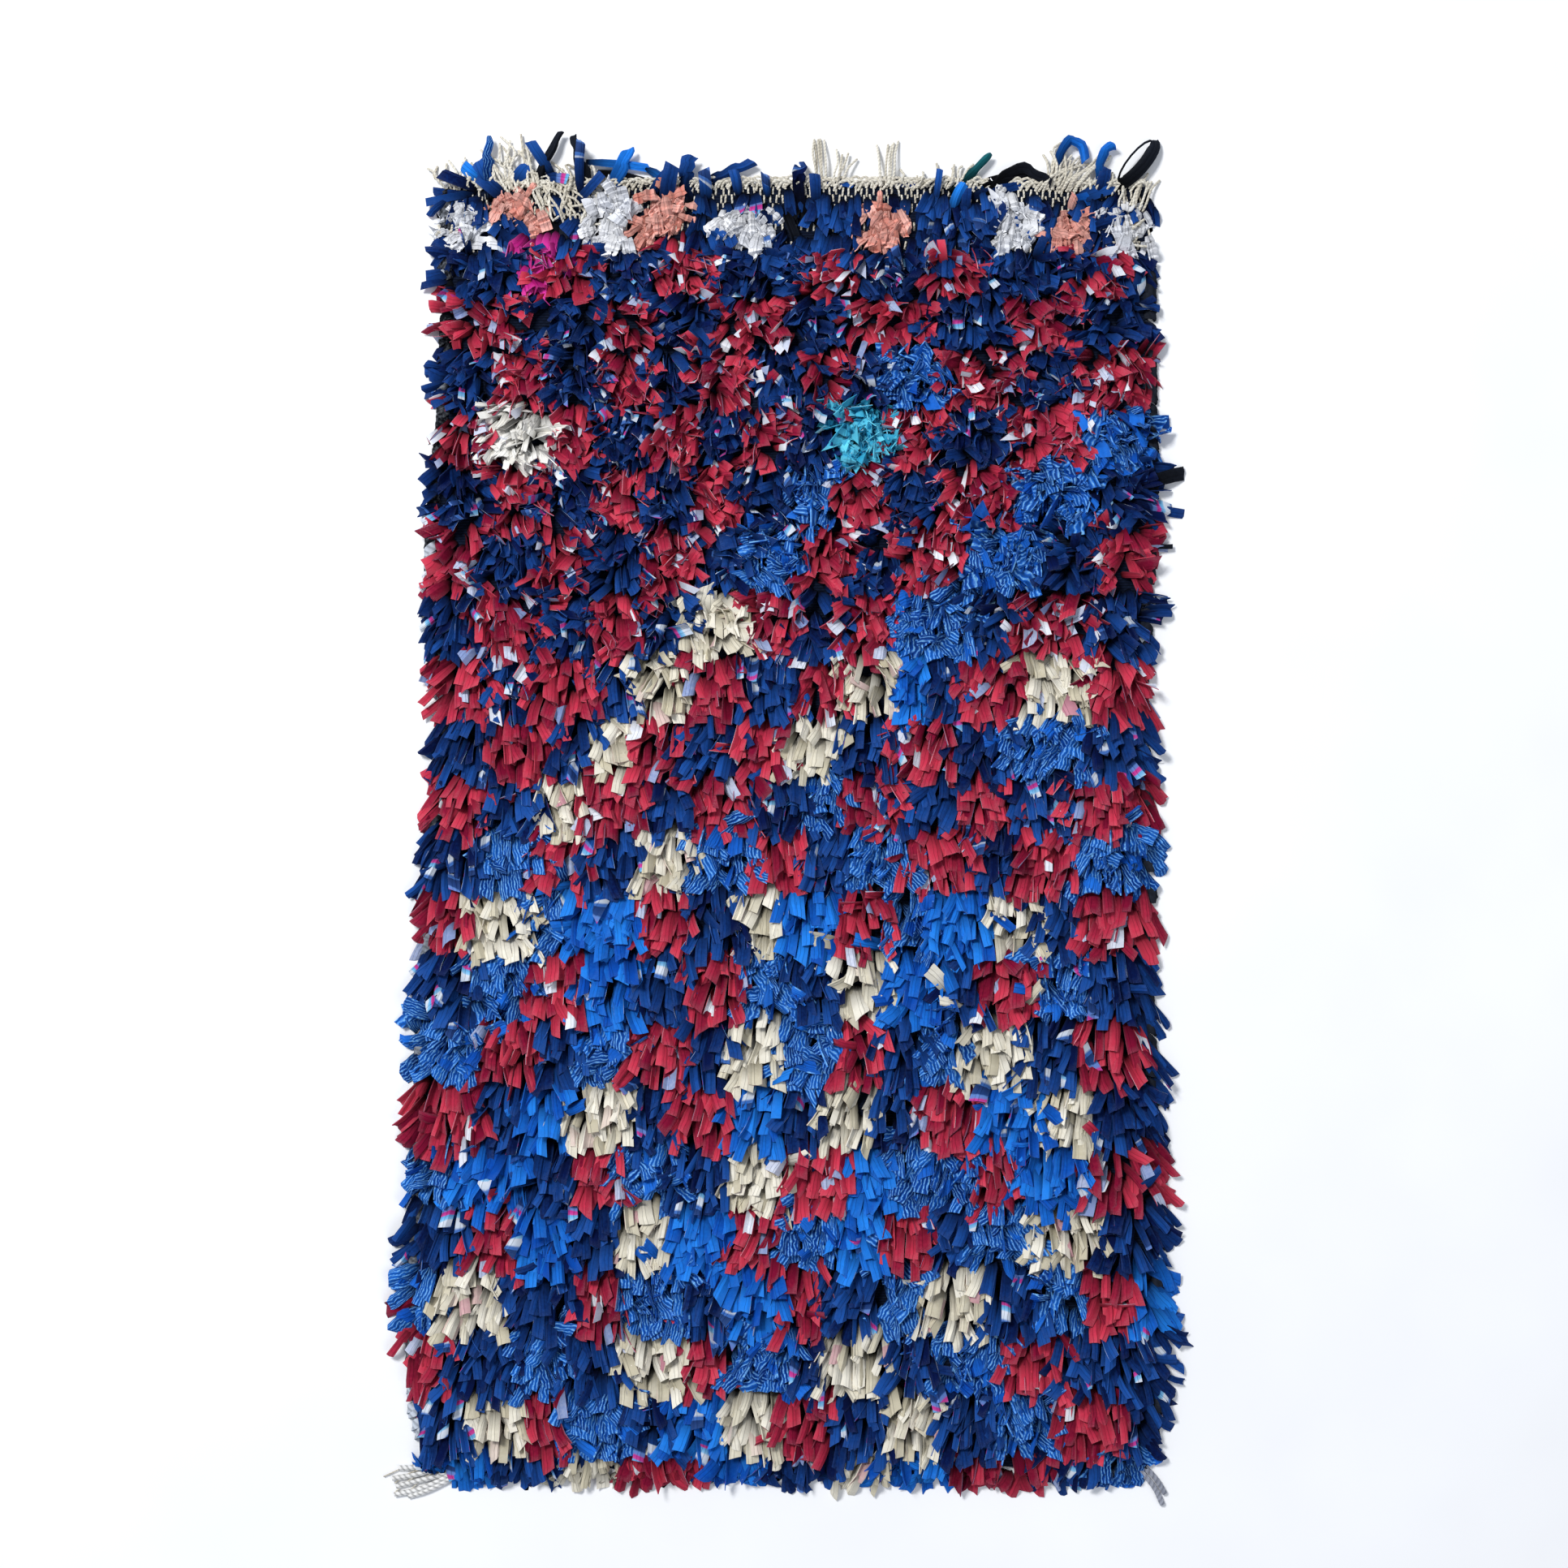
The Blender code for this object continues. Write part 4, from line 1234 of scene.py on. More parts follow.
    def fold(
        self, cut: Cut, root: np.ndarray, azimuth: np.ndarray, length: np.ndarray, rise: np.ndarray,
        tip: np.ndarray, width: np.ndarray, roll: np.ndarray, messy: np.ndarray | float = 0.0,
    ) -> Bundle:
        """Bends strips up from their knots and over.

        Args:
            cut: how the fabric is cut.
            root: each strip's X and Y.
            azimuth: the way it points, in radians.
            length: its length.
            rise: how steeply it leaves the knot.
            tip: how steeply it ends.
            width: its width.
            roll: how far it leans to one side.
            messy: how twisted and ragged it is, from 0 to 1.

        Returns:
            The bundle.
        """
        rng, count = self.rng, len(root)
        blank = self.ruffled_strip if cut.ruffled else self.plain_strip
        t = np.linspace(0.0, 1.0, blank.stations + 1)
        middle = 0.5 * (t[1:] + t[:-1])
        slope = rise[:, None] + (tip - rise)[:, None] * middle[None] ** 0.72
        swerve = rng.normal(0.0, math.radians(self.nap.swerve), count)
        heading = azimuth[:, None] + swerve[:, None] * middle[None]
        step = (length / blank.stations)[:, None]
        run = step[..., None] * places(
            np.cos(slope) * np.cos(heading), np.cos(slope) * np.sin(heading), np.sin(slope))
        centre = np.concatenate([np.zeros((count, 1, 3)), np.cumsum(run, 1)], 1)
        room = root[:, 1] - (self.reach.hem(root[:, 0]) - self.proud * rng.uniform(-0.6, 1.9, count))
        centre[..., 1] *= np.minimum(1.0, room / np.maximum(-centre[..., 1].min(1), 0.001))[:, None]
        waves = rng.uniform(1.3, 2.4, count)[:, None] * (1.6 if cut.ruffled else 1.0)
        crumple = cut.crumple * np.sin(2.0 * math.pi * (waves * t[None] + rng.random(count)[:, None]))
        centre[..., :2] += root[:, None]
        centre[..., 2] += self.root_height + rng.uniform(0.0, 0.003, count)[:, None]
        centre[..., 2] += crumple * np.minimum(4 * t, 1)
        centre[..., 2] = np.minimum(centre[..., 2], self.top - 0.004 * rng.random(count)[:, None])

        facing = np.concatenate([heading[:, :1], heading], 1)
        lean = roll[:, None] + (rng.normal(0.0, 1.0, count) * self.nap.at("twist", messy))[:, None] * t[None]
        level = places(np.sin(facing), -np.cos(facing), 0.0)
        side = level * np.cos(lean)[..., None] + np.array([0.0, 0.0, 1.0]) * np.sin(lean)[..., None]
        gathered = self.nap.gathered + (1.0 - self.nap.gathered) * ramp(t, 0.0, 0.30)[None] ** 0.8
        flare = rng.uniform(*cut.flare, count)[:, None]
        return Bundle(
            blank, centre, side, width[:, None] * gathered * (1.0 + flare * (t[None] - 0.45)), cut.thickness,
            arch=rng.uniform(*cut.arch, count) * np.where(rng.random(count) < self.arched_under, -1.0, 1.0),
            tint=rng.random(count) * (1.0 - cut.deeper * messy),
            pleat=rng.normal(0.0, cut.pleat, count) * self.nap.at("pleat", messy),
            phase=rng.random(count),
            slant=rng.normal(0.0, cut.slant, count) * self.nap.at("slant", messy),
            turned=(rng.random(count) < cut.turned).astype(float),
            printed=(rng.random(count) < cut.printed).astype(float))

    def strays(self, fabric: Fabric, low: float, high: float) -> Bundle | None:
        """Lays the strays of one fabric in one stretch of the rug's width.

        Args:
            fabric: the fabric.
            low: where the stretch begins, from -1 to 1.
            high: where it ends.

        Returns:
            Their bundle, or None.
        """
        half = 0.5 * float(self.ground.right(0.0) - self.ground.left(0.0))
        found = [s for s in STRAYS.get(fabric, ()) if low < s.across * MM / half <= high]
        if not found:
            return None
        roots = np.array([self.layout.point(s.across * MM, -s.down * MM, 0.0)[:2] for s in found])
        azimuth, rise, tip = np.radians([(s.azimuth, s.rise, s.tip) for s in found]).T
        length, width = MM * np.array([(s.length, s.width) for s in found]).T
        printed = np.array([float(s.printed) for s in found])
        roll = self.rng.normal(0.0, 0.15, len(found))
        made = self.fold(CUTS[fabric], roots, azimuth, length, rise, tip, width, roll)
        made.printed, made.turned, made.arch = printed, printed, np.abs(made.arch)
        return made

    def build(self) -> dict[str, bpy.types.Object]:
        """Knots the whole pile, a piece for each fabric and stretch of width.

        Returns:
            Piece name to its object.
        """
        knots = self.knots()
        for title, fabrics, divided_at in PILE_PIECES:
            edges = (-1.2, *divided_at, 1.2)
            for number, (low, high) in enumerate(zip(edges, edges[1:])):
                parts = []
                for fabric in fabrics:
                    pick = (knots["fabric"] == fabric.value) & (knots["edge"] > low) & (knots["edge"] <= high)
                    if pick.any():
                        parts.append(self.lie({t: column[pick] for t, column in knots.items()}, CUTS[fabric]))
                    parts.append(self.strays(fabric, low, high))
                name = f"pile_{title}" + (f"_{number + 1}" if divided_at else "")
                self.made[name] = weave_mesh(name, [part for part in parts if part], self.rng)
        return self.made


# Pile piece, its fabrics, and where it is divided across the rug's width (-1 to 1)
PILE_PIECES: tuple[tuple[str, tuple[Fabric, ...], tuple[float, ...]], ...] = (
    ("navy", (Fabric.NAVY, Fabric.NAVY_PRINT, Fabric.NAVY_LOOP), (-0.35, 0.35)),
    ("red", (Fabric.RED,), (-0.30, 0.30)),
    ("rib", (Fabric.RIB,), (0.0,)),
    ("blue", (Fabric.BLUE,), ()),
    ("cream", (Fabric.CREAM,), ()),
    ("white", (Fabric.WHITE,), ()),
    ("tuft", (Fabric.WHITE_TUFT,), ()),
    ("salmon", (Fabric.SALMON,), ()),
    ("black", (Fabric.DARK_LOOP,), ()),
    ("magenta", (Fabric.MAGENTA,), ()),
    ("turquoise", (Fabric.TURQUOISE,), ()),
)

FINISHES: dict[str, Finish] = {
    "navy": JerseyFinish("Navy Jersey", "navy_jersey", "041446", "1A4E9C", worn="8FA3C8", banded=True),
    "blue": JerseyFinish("Blue Jersey", "blue_jersey", "0A4CAE", "2282E6", worn="8FBCE8", banded=True),
    "rib": JerseyFinish("Royal Rib", "royal_rib", "0C4AAA", "1E6ED6", worn="8FC0EA", ribbed=True),
    "red": JerseyFinish("Red Jersey", "red_jersey", "800F32", "CE3850", back="8496C4", worn="ECEEF4"),
    "cream": JerseyFinish("Cream Jersey", "cream_jersey", "CDC4AA", "F2ECDC", back="C98A98", worn="E3D2C4"),
    "white": JerseyFinish(
        "White Cotton", "white_cotton", "E4E6EC", "FDFDFE", worn="FFFFFF", crumple_depth=0.0014),
    "tuft": JerseyFinish("White Jersey", "white_cotton", "E2DED4", "FAF8F2", worn="FFFFFF"),
    "salmon": JerseyFinish(
        "Salmon Cotton", "salmon_cotton", "DC8E7E", "F9BCAE", worn="EBC4BA", crumple_depth=0.0012),
    "black": JerseyFinish("Dark Rag", "black_rag", "090B12", "232833", worn="4A5264"),
    "magenta": JerseyFinish("Magenta Jersey", "magenta_jersey", "B01A74", "E63AA4", banded=True),
    "turquoise": JerseyFinish(
        "Turquoise Jersey", "turquoise_jersey", "2098C0", "6AD6EE", worn="B8E4EC", crumple_depth=0.0014),
    "teal": JerseyFinish("Teal Jersey", "teal_jersey", "0E4A52", "1F7A82"),
    "cotton_yarn": YarnFinish("White Warp Yarn", "white_cotton", "BEB5A2", "F1ECDE"),
    "corner_cord": YarnFinish("Corner Cord", "white_cotton", "CDCBC6", "F4F3F0", turn=15.0, groove=0.36),
    "grey_yarn": YarnFinish("Grey Yarn", "grey_yarn", "0C0E14", "C6CDD8", spread=1.0, turn=14.0, groove=0.5),
    "tail_yarn": YarnFinish("Tail Yarn", "grey_yarn", "7C808E", "DFE1E8", turn=14.0, groove=0.5),
    "black_wrap": YarnFinish("Black Wrap", "black_rag", "08090E", "2C313C", turn=14.0),
}


# ---------------------------------------------------------------- ground, selvedges, heading and corners


@dataclass
class Ground:
    """The woven ground cloth."""
    outline: Outline
    thickness: float = 0.0032
    lift: float = 0.0006
    columns: int = 30
    rows: int = 52

    def build(self) -> bpy.types.Object:
        """Makes the cloth as a thin sheet on its CAD solid's outline.

        Returns:
            The cloth.
        """
        bpy.ops.object.select_all(action="DESELECT")
        bpy.ops.mesh.primitive_grid_add(x_subdivisions=self.columns, y_subdivisions=self.rows, size=1.0)
        piece = bpy.context.object
        piece.name = piece.data.name = "ground_cloth"
        points = np.array([v.co for v in piece.data.vertices])
        u, v = points[:, 0] + 0.5, points[:, 1] + 0.5
        head, hem = float(self.outline.head(0.0)), float(self.outline.hem(0.0))
        y = hem + (head - hem) * v
        left, right = self.outline.left(y), self.outline.right(y)
        x = left + (right - left) * u
        y = self.outline.hem(x) + (self.outline.head(x) - self.outline.hem(x)) * v
        ripple = 0.0003 * np.sin(x * 61.0) * np.sin(y * 43.0)
        z = self.thickness + self.lift + ripple
        piece.data.vertices.foreach_set("co", np.stack([x, y, z], -1).ravel())
        thick = piece.modifiers.new("Thickness", "SOLIDIFY")
        thick.thickness, thick.offset = self.thickness, -1.0
        bpy.ops.object.modifier_apply(modifier=thick.name)
        bpy.ops.object.shade_smooth_by_angle(angle=math.radians(40.0))
        return piece


@dataclass(frozen=True)
class Tassel:
    """A bunch of warp ends: its root, how many, how far they reach up and across, and their fan.

    Lengths are in millimetres.
    """
    across: float
    down: float
    root_width: float
    count: int
    reach: float
    lean: float
    fan: float
    wave: float


TASSELS: tuple[Tassel, ...] = (
    Tassel(-408, 2, 30, 7, 34, -10, 24, 4), Tassel(-380, 0, 24, 5, 34, -8, 20, 4),
    Tassel(-346, 2, 20, 7, 68, -10, 18, 5.6), Tassel(-318, 20, 30, 8, 80, -30, 24, 8.6),
    Tassel(-292, 34, 30, 8, 74, -22, 26, 9.6), Tassel(-262, 46, 26, 8, 64, -10, 30, 9),
    Tassel(-240, 30, 40, 6, 34, -30, 14, 4), Tassel(-276, 2, 30, 5, 36, 6, 26, 7),
    Tassel(42, -2, 12, 5, 68, -3, 3, 1), Tassel(62, -2, 10, 4, 46, 10, 14, 1.4),
    Tassel(122, -2, 14, 6, 58, 2, 12, 1.2), Tassel(160, 0, 14, 4, 26, 6, 22, 5),
    Tassel(206, 0, 14, 5, 30, 12, 14, 3), Tassel(330, 2, 18, 7, 66, 6, 16, 4),
    Tassel(346, 4, 22, 9, 50, 32, 24, 2.6), Tassel(316, 4, 20, 4, 44, 40, 10, 3),
    Tassel(384, 6, 20, 5, 28, 6, 12, 3), Tassel(426, 34, 24, 9, 50, 14, 16, 2),
    Tassel(418, 52, 24, 8, 20, 18, 16, 5), Tassel(416, 80, 22, 7, 18, 16, 18, 5),
    Tassel(-422, 60, 20, 7, 14, 0, 14, 5),
)


@dataclass
class Heading:
    """The warp where it shows: loops and tassels along the heading, and dashes over the weft."""
    layout: Layout
    ground: Outline
    rng: np.random.Generator
    yarn: Blank
    dash: Blank
    left: float = -0.415
    right: float = 0.430
    loop_pitch: float = 0.0100
    loop_yarn: float = 0.0033
    tassel_yarn: float = 0.0031
    dash_pitch: float = 0.0078
    dash_size: float = 0.0026
    dash_rows: tuple[float, ...] = (0.0045, 0.0135, 0.024, 0.048, 0.072)
    gap_rows: tuple[float, ...] = (0.352, 0.364)     # rows seen in the gap where knots part
    gap: tuple[float, float] = (0.055, 0.135)        # that gap's left and right

    def loops(self) -> Bundle:
        """The chain of looped warp ends that locks the heading."""
        rng = self.rng
        x = np.repeat(np.arange(self.left, self.right, self.loop_pitch), 2)
        second = np.tile([0.0, 1.0], len(x) // 2)
        edge = self.ground.head(x + self.layout.centre) - self.layout.heading
        steps = (
            (0.000, -0.003, 0.0050), (0.005, 0.005, 0.0090), (0.014, 0.007, 0.0095), (0.021, 0.001, 0.0050))
        routes = np.stack([
            places(
                self.layout.centre + x + across + 0.0030 * second + rng.normal(0.0, 0.0011, len(x)),
                self.layout.heading + edge + up - 0.0034 * second + rng.normal(0.0, 0.0011, len(x)),
                high + rng.normal(0.0, 0.0006, len(x))) for across, up, high in steps], 1)
        return yarns(self.yarn, routes, self.loop_yarn, rng.uniform(0.2, 1.0, len(x)))

    def tassel(self, tassel: Tassel) -> Bundle:
        """One bunch of wavy warp ends.

        Args:
            tassel: its place and size.

        Returns:
            The bundle.
        """
        rng, count = self.rng, tassel.count
        place = np.linspace(-0.5, 0.5, count) + rng.normal(0.0, 0.08, count)
        reach = tassel.reach * rng.uniform(0.72, 1.0, count)
        routes = []
        for share, height in ((0.0, 0.0060), (0.3, 0.0130), (0.65, 0.0095), (1.0, 0.0030)):
            wave = rng.normal(0.0, tassel.wave, (count, 2)) * min(share * 3.0, 1.0)
            across = tassel.across + place * (tassel.root_width + tassel.fan * share)
            across = across + tassel.lean * share ** 1.2
            routes.append(places(
                self.layout.centre + MM * (across + wave[:, 0]),
                self.layout.heading + MM * (reach * share - tassel.down + wave[:, 1]),
                height + rng.normal(0.0, 0.0012, count)))
        return yarns(self.yarn, np.stack(routes, 1), self.tassel_yarn, rng.random(count))

    def fringe(self) -> bpy.types.Object:
        """The chain of loops and the tassels, as one piece."""
        parts = [self.loops()] + [self.tassel(tassel) for tassel in TASSELS]
        return weave_mesh("heading_fringe", parts, self.rng)

    def dashes(self) -> bpy.types.Object:
        """Short stitches of white warp over the dark weft, in the bare heading and where knots part.

        Returns:
            The joined dashes.
        """
        rng, spots = self.rng, []
        for number, down in enumerate(self.dash_rows):
            for x in np.arange(self.left, self.right + 0.01, self.dash_pitch):
                spots.append((x + 0.5 * self.dash_pitch * (number % 2), down))
        spots += [(x, down) for down in self.gap_rows for x in np.arange(*self.gap, self.dash_pitch)]
        across, down = np.array(spots).T
        across = across + rng.normal(0.0, 0.0006, len(across))
        down = down + rng.normal(0.0, 0.0008, len(down))
        x = self.layout.centre + across
        y = self.ground.head(x) - down
        lengths = rng.uniform(0.0075, 0.0105, len(x))
        tilt = rng.normal(0.0, 0.0008, len(x))
        routes = np.stack([
            places(x + tilt * (share - 0.5), y - lengths * share, height)
            for share, height in ((0.0, 0.0036), (0.5, 0.0062), (1.0, 0.0036))], 1)
        made = yarns(self.dash, routes, self.dash_size, rng.random(len(x)))
        return weave_mesh("heading_warps", [made], rng)


@dataclass
class Selvedge:
    """Rag and yarn wrapped over one side cord."""
    ground: Outline
    layout: Layout
    rng: np.random.Generator
    yarn: Blank
    side: int
    tints: tuple[tuple[float, float], ...]
    pitch: float = 0.0112
    wrap_width: float = 0.0130
    wrap_depth: float = 0.0034
    start: float = 0.006
    length: float = 1.585

    def build(self, name: str) -> bpy.types.Object:
        """Winds the wraps.

        Args:
            name: the piece's name.

        Returns:
            The joined wraps.
        """
        rng = self.rng
        down = np.arange(self.start, self.length, self.pitch)
        down = down + rng.normal(0.0, 0.0012, len(down))
        y = self.layout.heading - down
        edge = self.ground.left(y) if self.side < 0 else self.ground.right(y)
        slant = rng.normal(0.003, 0.0015, len(down))
        round_cord = (
            (-0.0040, 0.0045), (0.0005, 0.0090), (0.0065, 0.0078), (0.0090, 0.0040), (0.0060, 0.0022))
        routes = np.stack([
            places(edge + self.side * out, y - slant * i, height)
            for i, (out, height) in enumerate(round_cord)], 1)
        starts, values = zip(*self.tints)
        tint = np.array(values)[np.searchsorted(starts, down, side="right") - 1]
        tint = np.clip(tint + rng.normal(0.0, 0.07, len(down)), 0.0, 1.0)
        width = self.wrap_width * rng.uniform(0.8, 1.1, len(down))
        made = yarns(self.yarn, routes, width, tint, self.wrap_depth)
        made.side = np.broadcast_to(np.array([0.0, float(self.side), 0.0]), made.centre.shape)
        return weave_mesh(name, [made], rng)


@dataclass
class Corner:
    """Loose yarns spread from a corner of the rug."""
    layout: Layout
    rng: np.random.Generator
    yarn: Blank
    root: tuple[float, float]            # across and down
    root_width: float
    angle: float
    spread: float
    lengths: tuple[float, ...]
    yarn_width: float
    bow: float = 0.004                   # how far a yarn's middle stands out of line
    inside: float = 0.030                # how far it goes back under the pile

    def build(self, name: str) -> bpy.types.Object:
        """Lays the yarns.

        Args:
            name: the piece's name.

        Returns:
            The joined yarns.
        """
        rng, count = self.rng, len(self.lengths)
        place = (np.arange(count) + 0.5) / count - 0.5
        turn = np.radians(self.angle + self.spread * place)
        along = np.stack([np.cos(turn), np.sin(turn)], -1)
        beside = np.stack([-along[:, 1], along[:, 0]], -1)
        x, y, _ = self.layout.point(self.root[0], -self.root[1], 0.0)
        start = np.array([x, y]) + beside * (place * self.root_width)[:, None]
        lengths = np.array(self.lengths)
        routes = []
        for share, height in ((0.0, 0.0045), (0.35, 0.0040), (0.7, 0.0034), (1.0, 0.0026)):
            run = -self.inside + share * (lengths + self.inside)
            bow = self.bow * math.sin(math.pi * share) + rng.normal(0.0, 0.0008, count)
            flat = start + along * run[:, None] + beside * bow[:, None]
            routes.append(np.concatenate([flat, np.full((count, 1), height)], 1))
        made = yarns(self.yarn, np.stack(routes, 1), self.yarn_width, rng.random(count))
        return weave_mesh(name, [made], rng)


@dataclass(frozen=True)
class LooseRag:
    """A rag that reaches past the heading, on its CAD route: start, bend and tip, across, up and high."""
    node: str
    finish: str
    start: tuple[float, float, float]
    bend: tuple[float, float, float]
    tip: tuple[float, float, float]
    width: float
    arch: float
    point: float = 1.0                   # width at the tip, as a share
    printed: bool = False
    tail: float = 0.020                  # how far it goes back into the pile


LOOSE_RAGS: tuple[LooseRag, ...] = (
    LooseRag(
        "rag_rib_upright", "rib", (-0.370, 0.004, 0.010), (-0.374, 0.034, 0.022), (-0.369, 0.064, 0.012),
        0.022, 2.6, 0.35),
    LooseRag(
        "rag_black_left", "black", (-0.312, 0.006, 0.008), (-0.296, 0.040, 0.020), (-0.280, 0.069, 0.012),
        0.014, 2.4, 0.6),
    LooseRag(
        "rag_black_right", "black", (-0.250, 0.004, 0.008), (-0.258, 0.036, 0.022), (-0.265, 0.064, 0.012),
        0.022, 2.8, 0.55),
    LooseRag(
        "rag_royal", "blue", (-0.215, 0.004, 0.008), (-0.205, 0.026, 0.020), (-0.197, 0.046, 0.014),
        0.022, 2.2, 0.7),
    LooseRag(
        "rag_navy_upright", "navy", (-0.126, 0.004, 0.010), (-0.127, 0.022, 0.024), (-0.121, 0.036, 0.016),
        0.018, 1.2, tail=0.030),
    LooseRag(
        "rag_navy_bit", "navy", (-0.092, 0.010, 0.009), (-0.070, 0.020, 0.016), (-0.044, 0.030, 0.012),
        0.013, 1.8),
    LooseRag(
        "rag_printed_loop", "navy", (0.014, 0.003, 0.010), (0.012, 0.018, 0.024), (0.017, 0.026, 0.010),
        0.015, 0.8, printed=True, tail=0.050),
    LooseRag(
        "rag_teal", "teal", (0.216, 0.006, 0.009), (0.236, 0.022, 0.018), (0.252, 0.042, 0.012),
        0.014, 2.4, 0.6),
    LooseRag(
        "rag_rope_arch", "black", (0.262, 0.006, 0.012), (0.288, 0.040, 0.020), (0.326, 0.003, 0.012),
        0.018, 3.2, tail=0.034),
    LooseRag(
        "rag_blue_loop", "blue", (0.336, 0.030, 0.012), (0.352, 0.086, 0.018), (0.372, 0.034, 0.012),
        0.014, 2.6, tail=0.020),
    LooseRag(
        "rag_blue_curl", "blue", (0.389, 0.004, 0.010), (0.386, 0.052, 0.018), (0.404, 0.050, 0.014),
        0.014, 2.4, 0.9),
)


@dataclass
class LooseRags:
    """The rags that reach past the heading."""
    layout: Layout
    rng: np.random.Generator
    yarn: Blank
    root_height: float = 0.008
    loop_foot: tuple[float, float] = (0.412, 0.006)
    loop_length: float = 0.066
    loop_width: float = 0.019
    loop_angle: float = 50.0
    loop_band: float = 0.018
    loop_cord: float = 0.0030
    thickness: float = 0.0012
    pleat: float = 0.13
    slant: float = 0.5
    crumple: float = 0.0016

    def __post_init__(self) -> None:
        """Models the long unit strip."""
        self.strip = strip_blank(6, 12)

    def band(self, centre: np.ndarray, width: np.ndarray | float, arch: float, printed: float) -> Bundle:
        """One rag swept along its route.

        Args:
            centre: the route's places.
            width: its width at each.
            arch: how far it curls.
            printed: 1 to show the print.

        Returns:
            The bundle.
        """
        ahead = unit(np.gradient(centre, axis=1))
        side = np.stack([ahead[..., 1], -ahead[..., 0], np.zeros(ahead.shape[:2])], -1)
        one = np.ones(1)
        return Bundle(
            self.strip, centre, side, width, self.thickness, tint=self.rng.uniform(0.05, 0.7, 1),
            arch=one * arch, pleat=one * self.pleat, phase=self.rng.random(1), slant=one * self.slant,
            turned=one * printed, printed=one * printed)

    def rag(self, rag: LooseRag) -> bpy.types.Object:
        """Makes one loose rag.

        Args:
            rag: its route and size.

        Returns:
            The piece.
        """
        start, bend, tip = (np.array(self.layout.point(*p)) for p in (rag.start, rag.bend, rag.tip))
        t = np.linspace(0.0, 1.0, 7)[:, None]
        route = (1 - t) ** 2 * start + 2 * t * (1 - t) * bend + t * t * tip
        back = start + unit(start - bend) * rag.tail
        back[2] = self.root_height
        centre = smooth_route(np.concatenate([[back], route])[None], self.strip.stations)
        along = np.linspace(0.0, 1.0, self.strip.stations + 1)[None]
        swell = np.sin(2.0 * math.pi * (along * self.rng.uniform(1.8, 3.0) + self.rng.random()))
        centre[..., :2] += (self.crumple * swell * np.minimum(4.0 * along, 1.0))[..., None]
        width = rag.width * (1.0 - (1.0 - rag.point) * along ** 1.5) * (1.0 + 0.10 * swell)
        made = self.band(centre, width, rag.arch, float(rag.printed))
        return weave_mesh(rag.node.replace("rag_", "loose_"), [made], self.rng)

    def black_loop(self) -> bpy.types.Object:
        """The standing loop at the right: a broad band up one side, and a thin cord back down.

        Returns:
            The piece.
        """
        angle = math.radians(self.loop_angle)
        along = np.array([math.cos(angle), math.sin(angle)])
        beside = np.array([-along[1], along[0]])
        foot = np.array(self.layout.point(*self.loop_foot, 0.0))[:2]
        halves = []
        for side in (-1.0, 1.0):
            turn = np.linspace(0.0, math.pi, 9)
            run = self.loop_length * (0.5 - 0.5 * np.cos(turn))
            out = side * 0.5 * self.loop_width * np.sin(turn)
            flat = foot + along * run[:, None] + beside * out[:, None]
            height = 0.009 + 0.008 * np.sin(turn)
            halves.append(np.concatenate([flat, height[:, None]], 1)[None])
        band = self.band(smooth_route(halves[0], self.strip.stations), self.loop_band, 2.0, 0.0)
        cord = yarns(self.yarn, halves[1], self.loop_cord, np.array([0.5]))
        return weave_mesh("loose_black_loop", [band, cord], self.rng)


# ---------------------------------------------------------------- the setting


@dataclass
class Setting:
    """Floor, lights and camera."""
    layout: Layout
    view_width: float = 1.932
    view_centre: tuple[float, float] = (-0.004, 0.741)   # across and down
    pile_height: float = 0.03
    lens: float = 50.0
    sky: float = 0.36
    lamps: tuple[tuple[str, tuple[float, float, float], float, float], ...] = (
        ("key", (-2.2, 2.4, 4.4), 1.3, 264.0),
        ("fill", (2.6, -2.0, 4.4), 3.0, 50.0),
    )

    def floor(self) -> None:
        """A plain pale floor."""
        bpy.ops.object.select_all(action="DESELECT")
        bpy.ops.mesh.primitive_plane_add(size=14.0, location=(0.0, 0.0, 0.0))
        floor = bpy.context.object
        floor.name = "floor"
        paint = bpy.data.materials.new("Pale Floor")
        paint.use_nodes = True
        board, shader = Board(paint.node_tree), paint.node_tree.nodes["Principled BSDF"]
        tone = board.mix(board.place().noise(3.0, 3.0).span(0.3, 0.7), shade("F6F6F6"), shade("FCFCFC"))
        board.tree.links.new(tone.socket, shader.inputs["Base Color"])
        shader.inputs["Roughness"].default_value = 0.9
        floor.data.materials.append(paint)

    def lights(self) -> None:
        """A broad key light from the heading's left, a fill, and an even sky."""
        world = bpy.data.worlds.new("Studio")
        bpy.context.scene.world = world
        world.use_nodes = True
        backdrop = world.node_tree.nodes["Background"]
        backdrop.inputs["Color"].default_value = (0.86, 0.95, 1.12, 1.0)
        backdrop.inputs["Strength"].default_value = self.sky
        for name, place, size, power in self.lamps:
            bpy.ops.object.light_add(type="AREA", location=place)
            lamp = bpy.context.object
            lamp.name, lamp.data.size, lamp.data.energy = name, size, power
            lamp.rotation_euler = (-Vector(place)).to_track_quat("-Z", "Y").to_euler()
        bpy.context.scene.view_settings.view_transform = "Standard"

    def camera(self) -> None:
        """A camera straight above the rug."""
        bpy.ops.object.camera_add(location=(0.0, 0.0, 0.0))
        camera = bpy.context.object
        camera.data.lens, camera.data.sensor_width = self.lens, 36.0
        height = self.view_width * self.lens / camera.data.sensor_width + self.pile_height
        camera.location = self.layout.point(self.view_centre[0], -self.view_centre[1], height)
        camera.rotation_euler = (0.0, 0.0, 0.0)
        bpy.context.scene.camera = camera


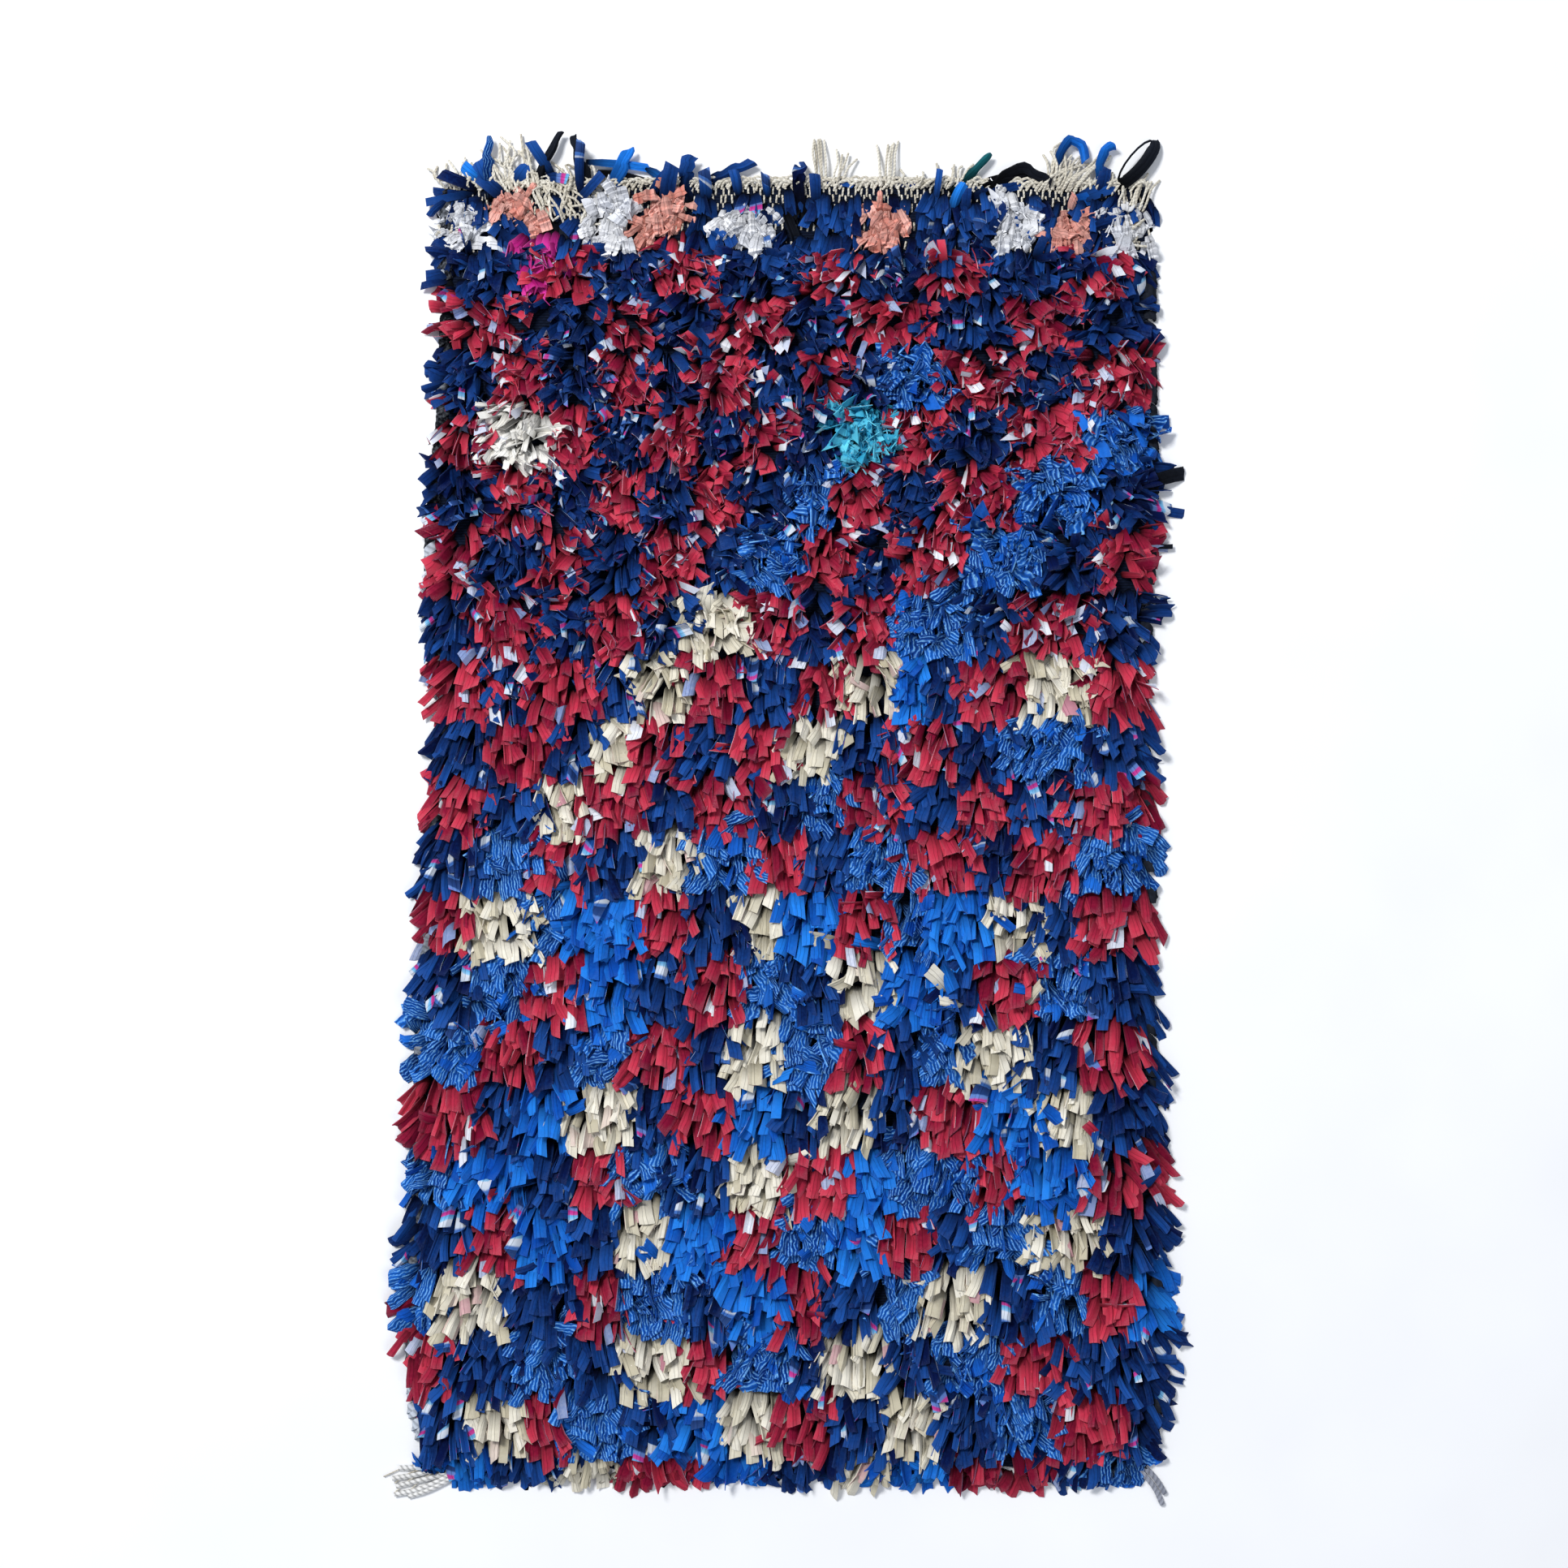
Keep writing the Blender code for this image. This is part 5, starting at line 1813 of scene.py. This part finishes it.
@dataclass
class Rug:
    """The whole rug: its pieces, their finishes and what they stand for."""
    effects: Effects
    pieces: list[bpy.types.Object] = field(default_factory=list)
    triangles: int = 0

    def take(self, piece: bpy.types.Object, finish: Finish, node: str) -> None:
        """Dresses a piece and puts it in its CAD node's place.

        Args:
            piece: the piece.
            finish: its finish.
            node: the CAD node that it replaces.
        """
        piece.data.materials.clear()
        piece.data.materials.append(bpy.data.materials.get(finish.name) or finish.build(self.effects))
        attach(piece, "root")
        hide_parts(node)
        faces = sum(len(polygon.vertices) - 2 for polygon in piece.data.polygons)
        self.triangles += faces
        self.pieces.append(piece)
        LOG.info("%s: %d triangles, in %s", piece.name, faces, finish.name)


def main() -> None:
    """Builds the rug piece by piece and dresses it."""
    logging.basicConfig(level=logging.INFO, format="%(name)s: %(message)s")
    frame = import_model()
    nodes = frame["nodes"]
    rng = np.random.default_rng(SEED)
    low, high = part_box("foundation")
    layout = Layout(low[0] + CLOTH_LEFT, high[1] - HEADING_BOW)
    effects = Effects()
    setting = Setting(layout)
    setting.camera()
    setting.floor()
    setting.lights()

    rug = Rug(effects)
    outline = Outline(nodes["foundation"])
    ground = Ground(outline).build()
    rug.take(ground, GroundFinish("Ground Weave", "ground_weave", "080C18", "141E34"), "foundation")
    for name, piece in Pile(layout, outline, Outline(nodes["pile"]), rng).build().items():
        rug.take(piece, FINISHES[name.split("_")[1]], "pile")

    yarn, dash = tube_blank(6, 8), tube_blank(6, 2)
    heading = Heading(layout, outline, rng, yarn, dash)
    rug.take(heading.fringe(), FINISHES["cotton_yarn"], "top_fringe")
    rug.take(heading.dashes(), FINISHES["cotton_yarn"], "foundation")
    left = Selvedge(outline, layout, rng, yarn, -1, (
        (0.0, 0.06), (0.430, 0.70), (0.480, 0.12), (0.610, 0.80), (0.645, 0.20), (1.450, 0.0), (1.462, 0.9)))
    rug.take(left.build("selvedge_wraps_left"), FINISHES["grey_yarn"], "selvedge_left")
    right = Selvedge(outline, layout, rng, yarn, 1, ((0.0, 0.5), (1.50, 0.8)), start=0.10)
    rug.take(right.build("selvedge_wraps_right"), FINISHES["black_wrap"], "selvedge_right")
    warps = Corner(
        layout, rng, yarn, (-0.432, 1.595), 0.030, 199.0, 20.0, (0.050, 0.060, 0.058, 0.064, 0.050), 0.0064)
    rug.take(warps.build("corner_warp_yarns"), FINISHES["corner_cord"], "corner_warps")
    wisps = Corner(
        layout, rng, yarn, (-0.450, 1.600), 0.022, 202.0, 26.0, (0.052, 0.040, 0.046, 0.030), 0.0016, -0.006)
    rug.take(wisps.build("corner_wisps"), FINISHES["cotton_yarn"], "corner_warps")
    tail = Corner(layout, rng, yarn, (0.442, 1.601), 0.016, -48.0, 16.0, (0.044, 0.036), 0.0075, 0.006)
    rug.take(tail.build("corner_tail_yarns"), FINISHES["tail_yarn"], "corner_tail")
    loose = LooseRags(layout, rng, yarn)
    for rag in LOOSE_RAGS:
        rug.take(loose.rag(rag), FINISHES[rag.finish], rag.node)
    rug.take(loose.black_loop(), FINISHES["black"], "rag_black_loop")
    LOG.info("in all: %d pieces, %d triangles", len(rug.pieces), rug.triangles)


if __name__ == "__main__":
    main()
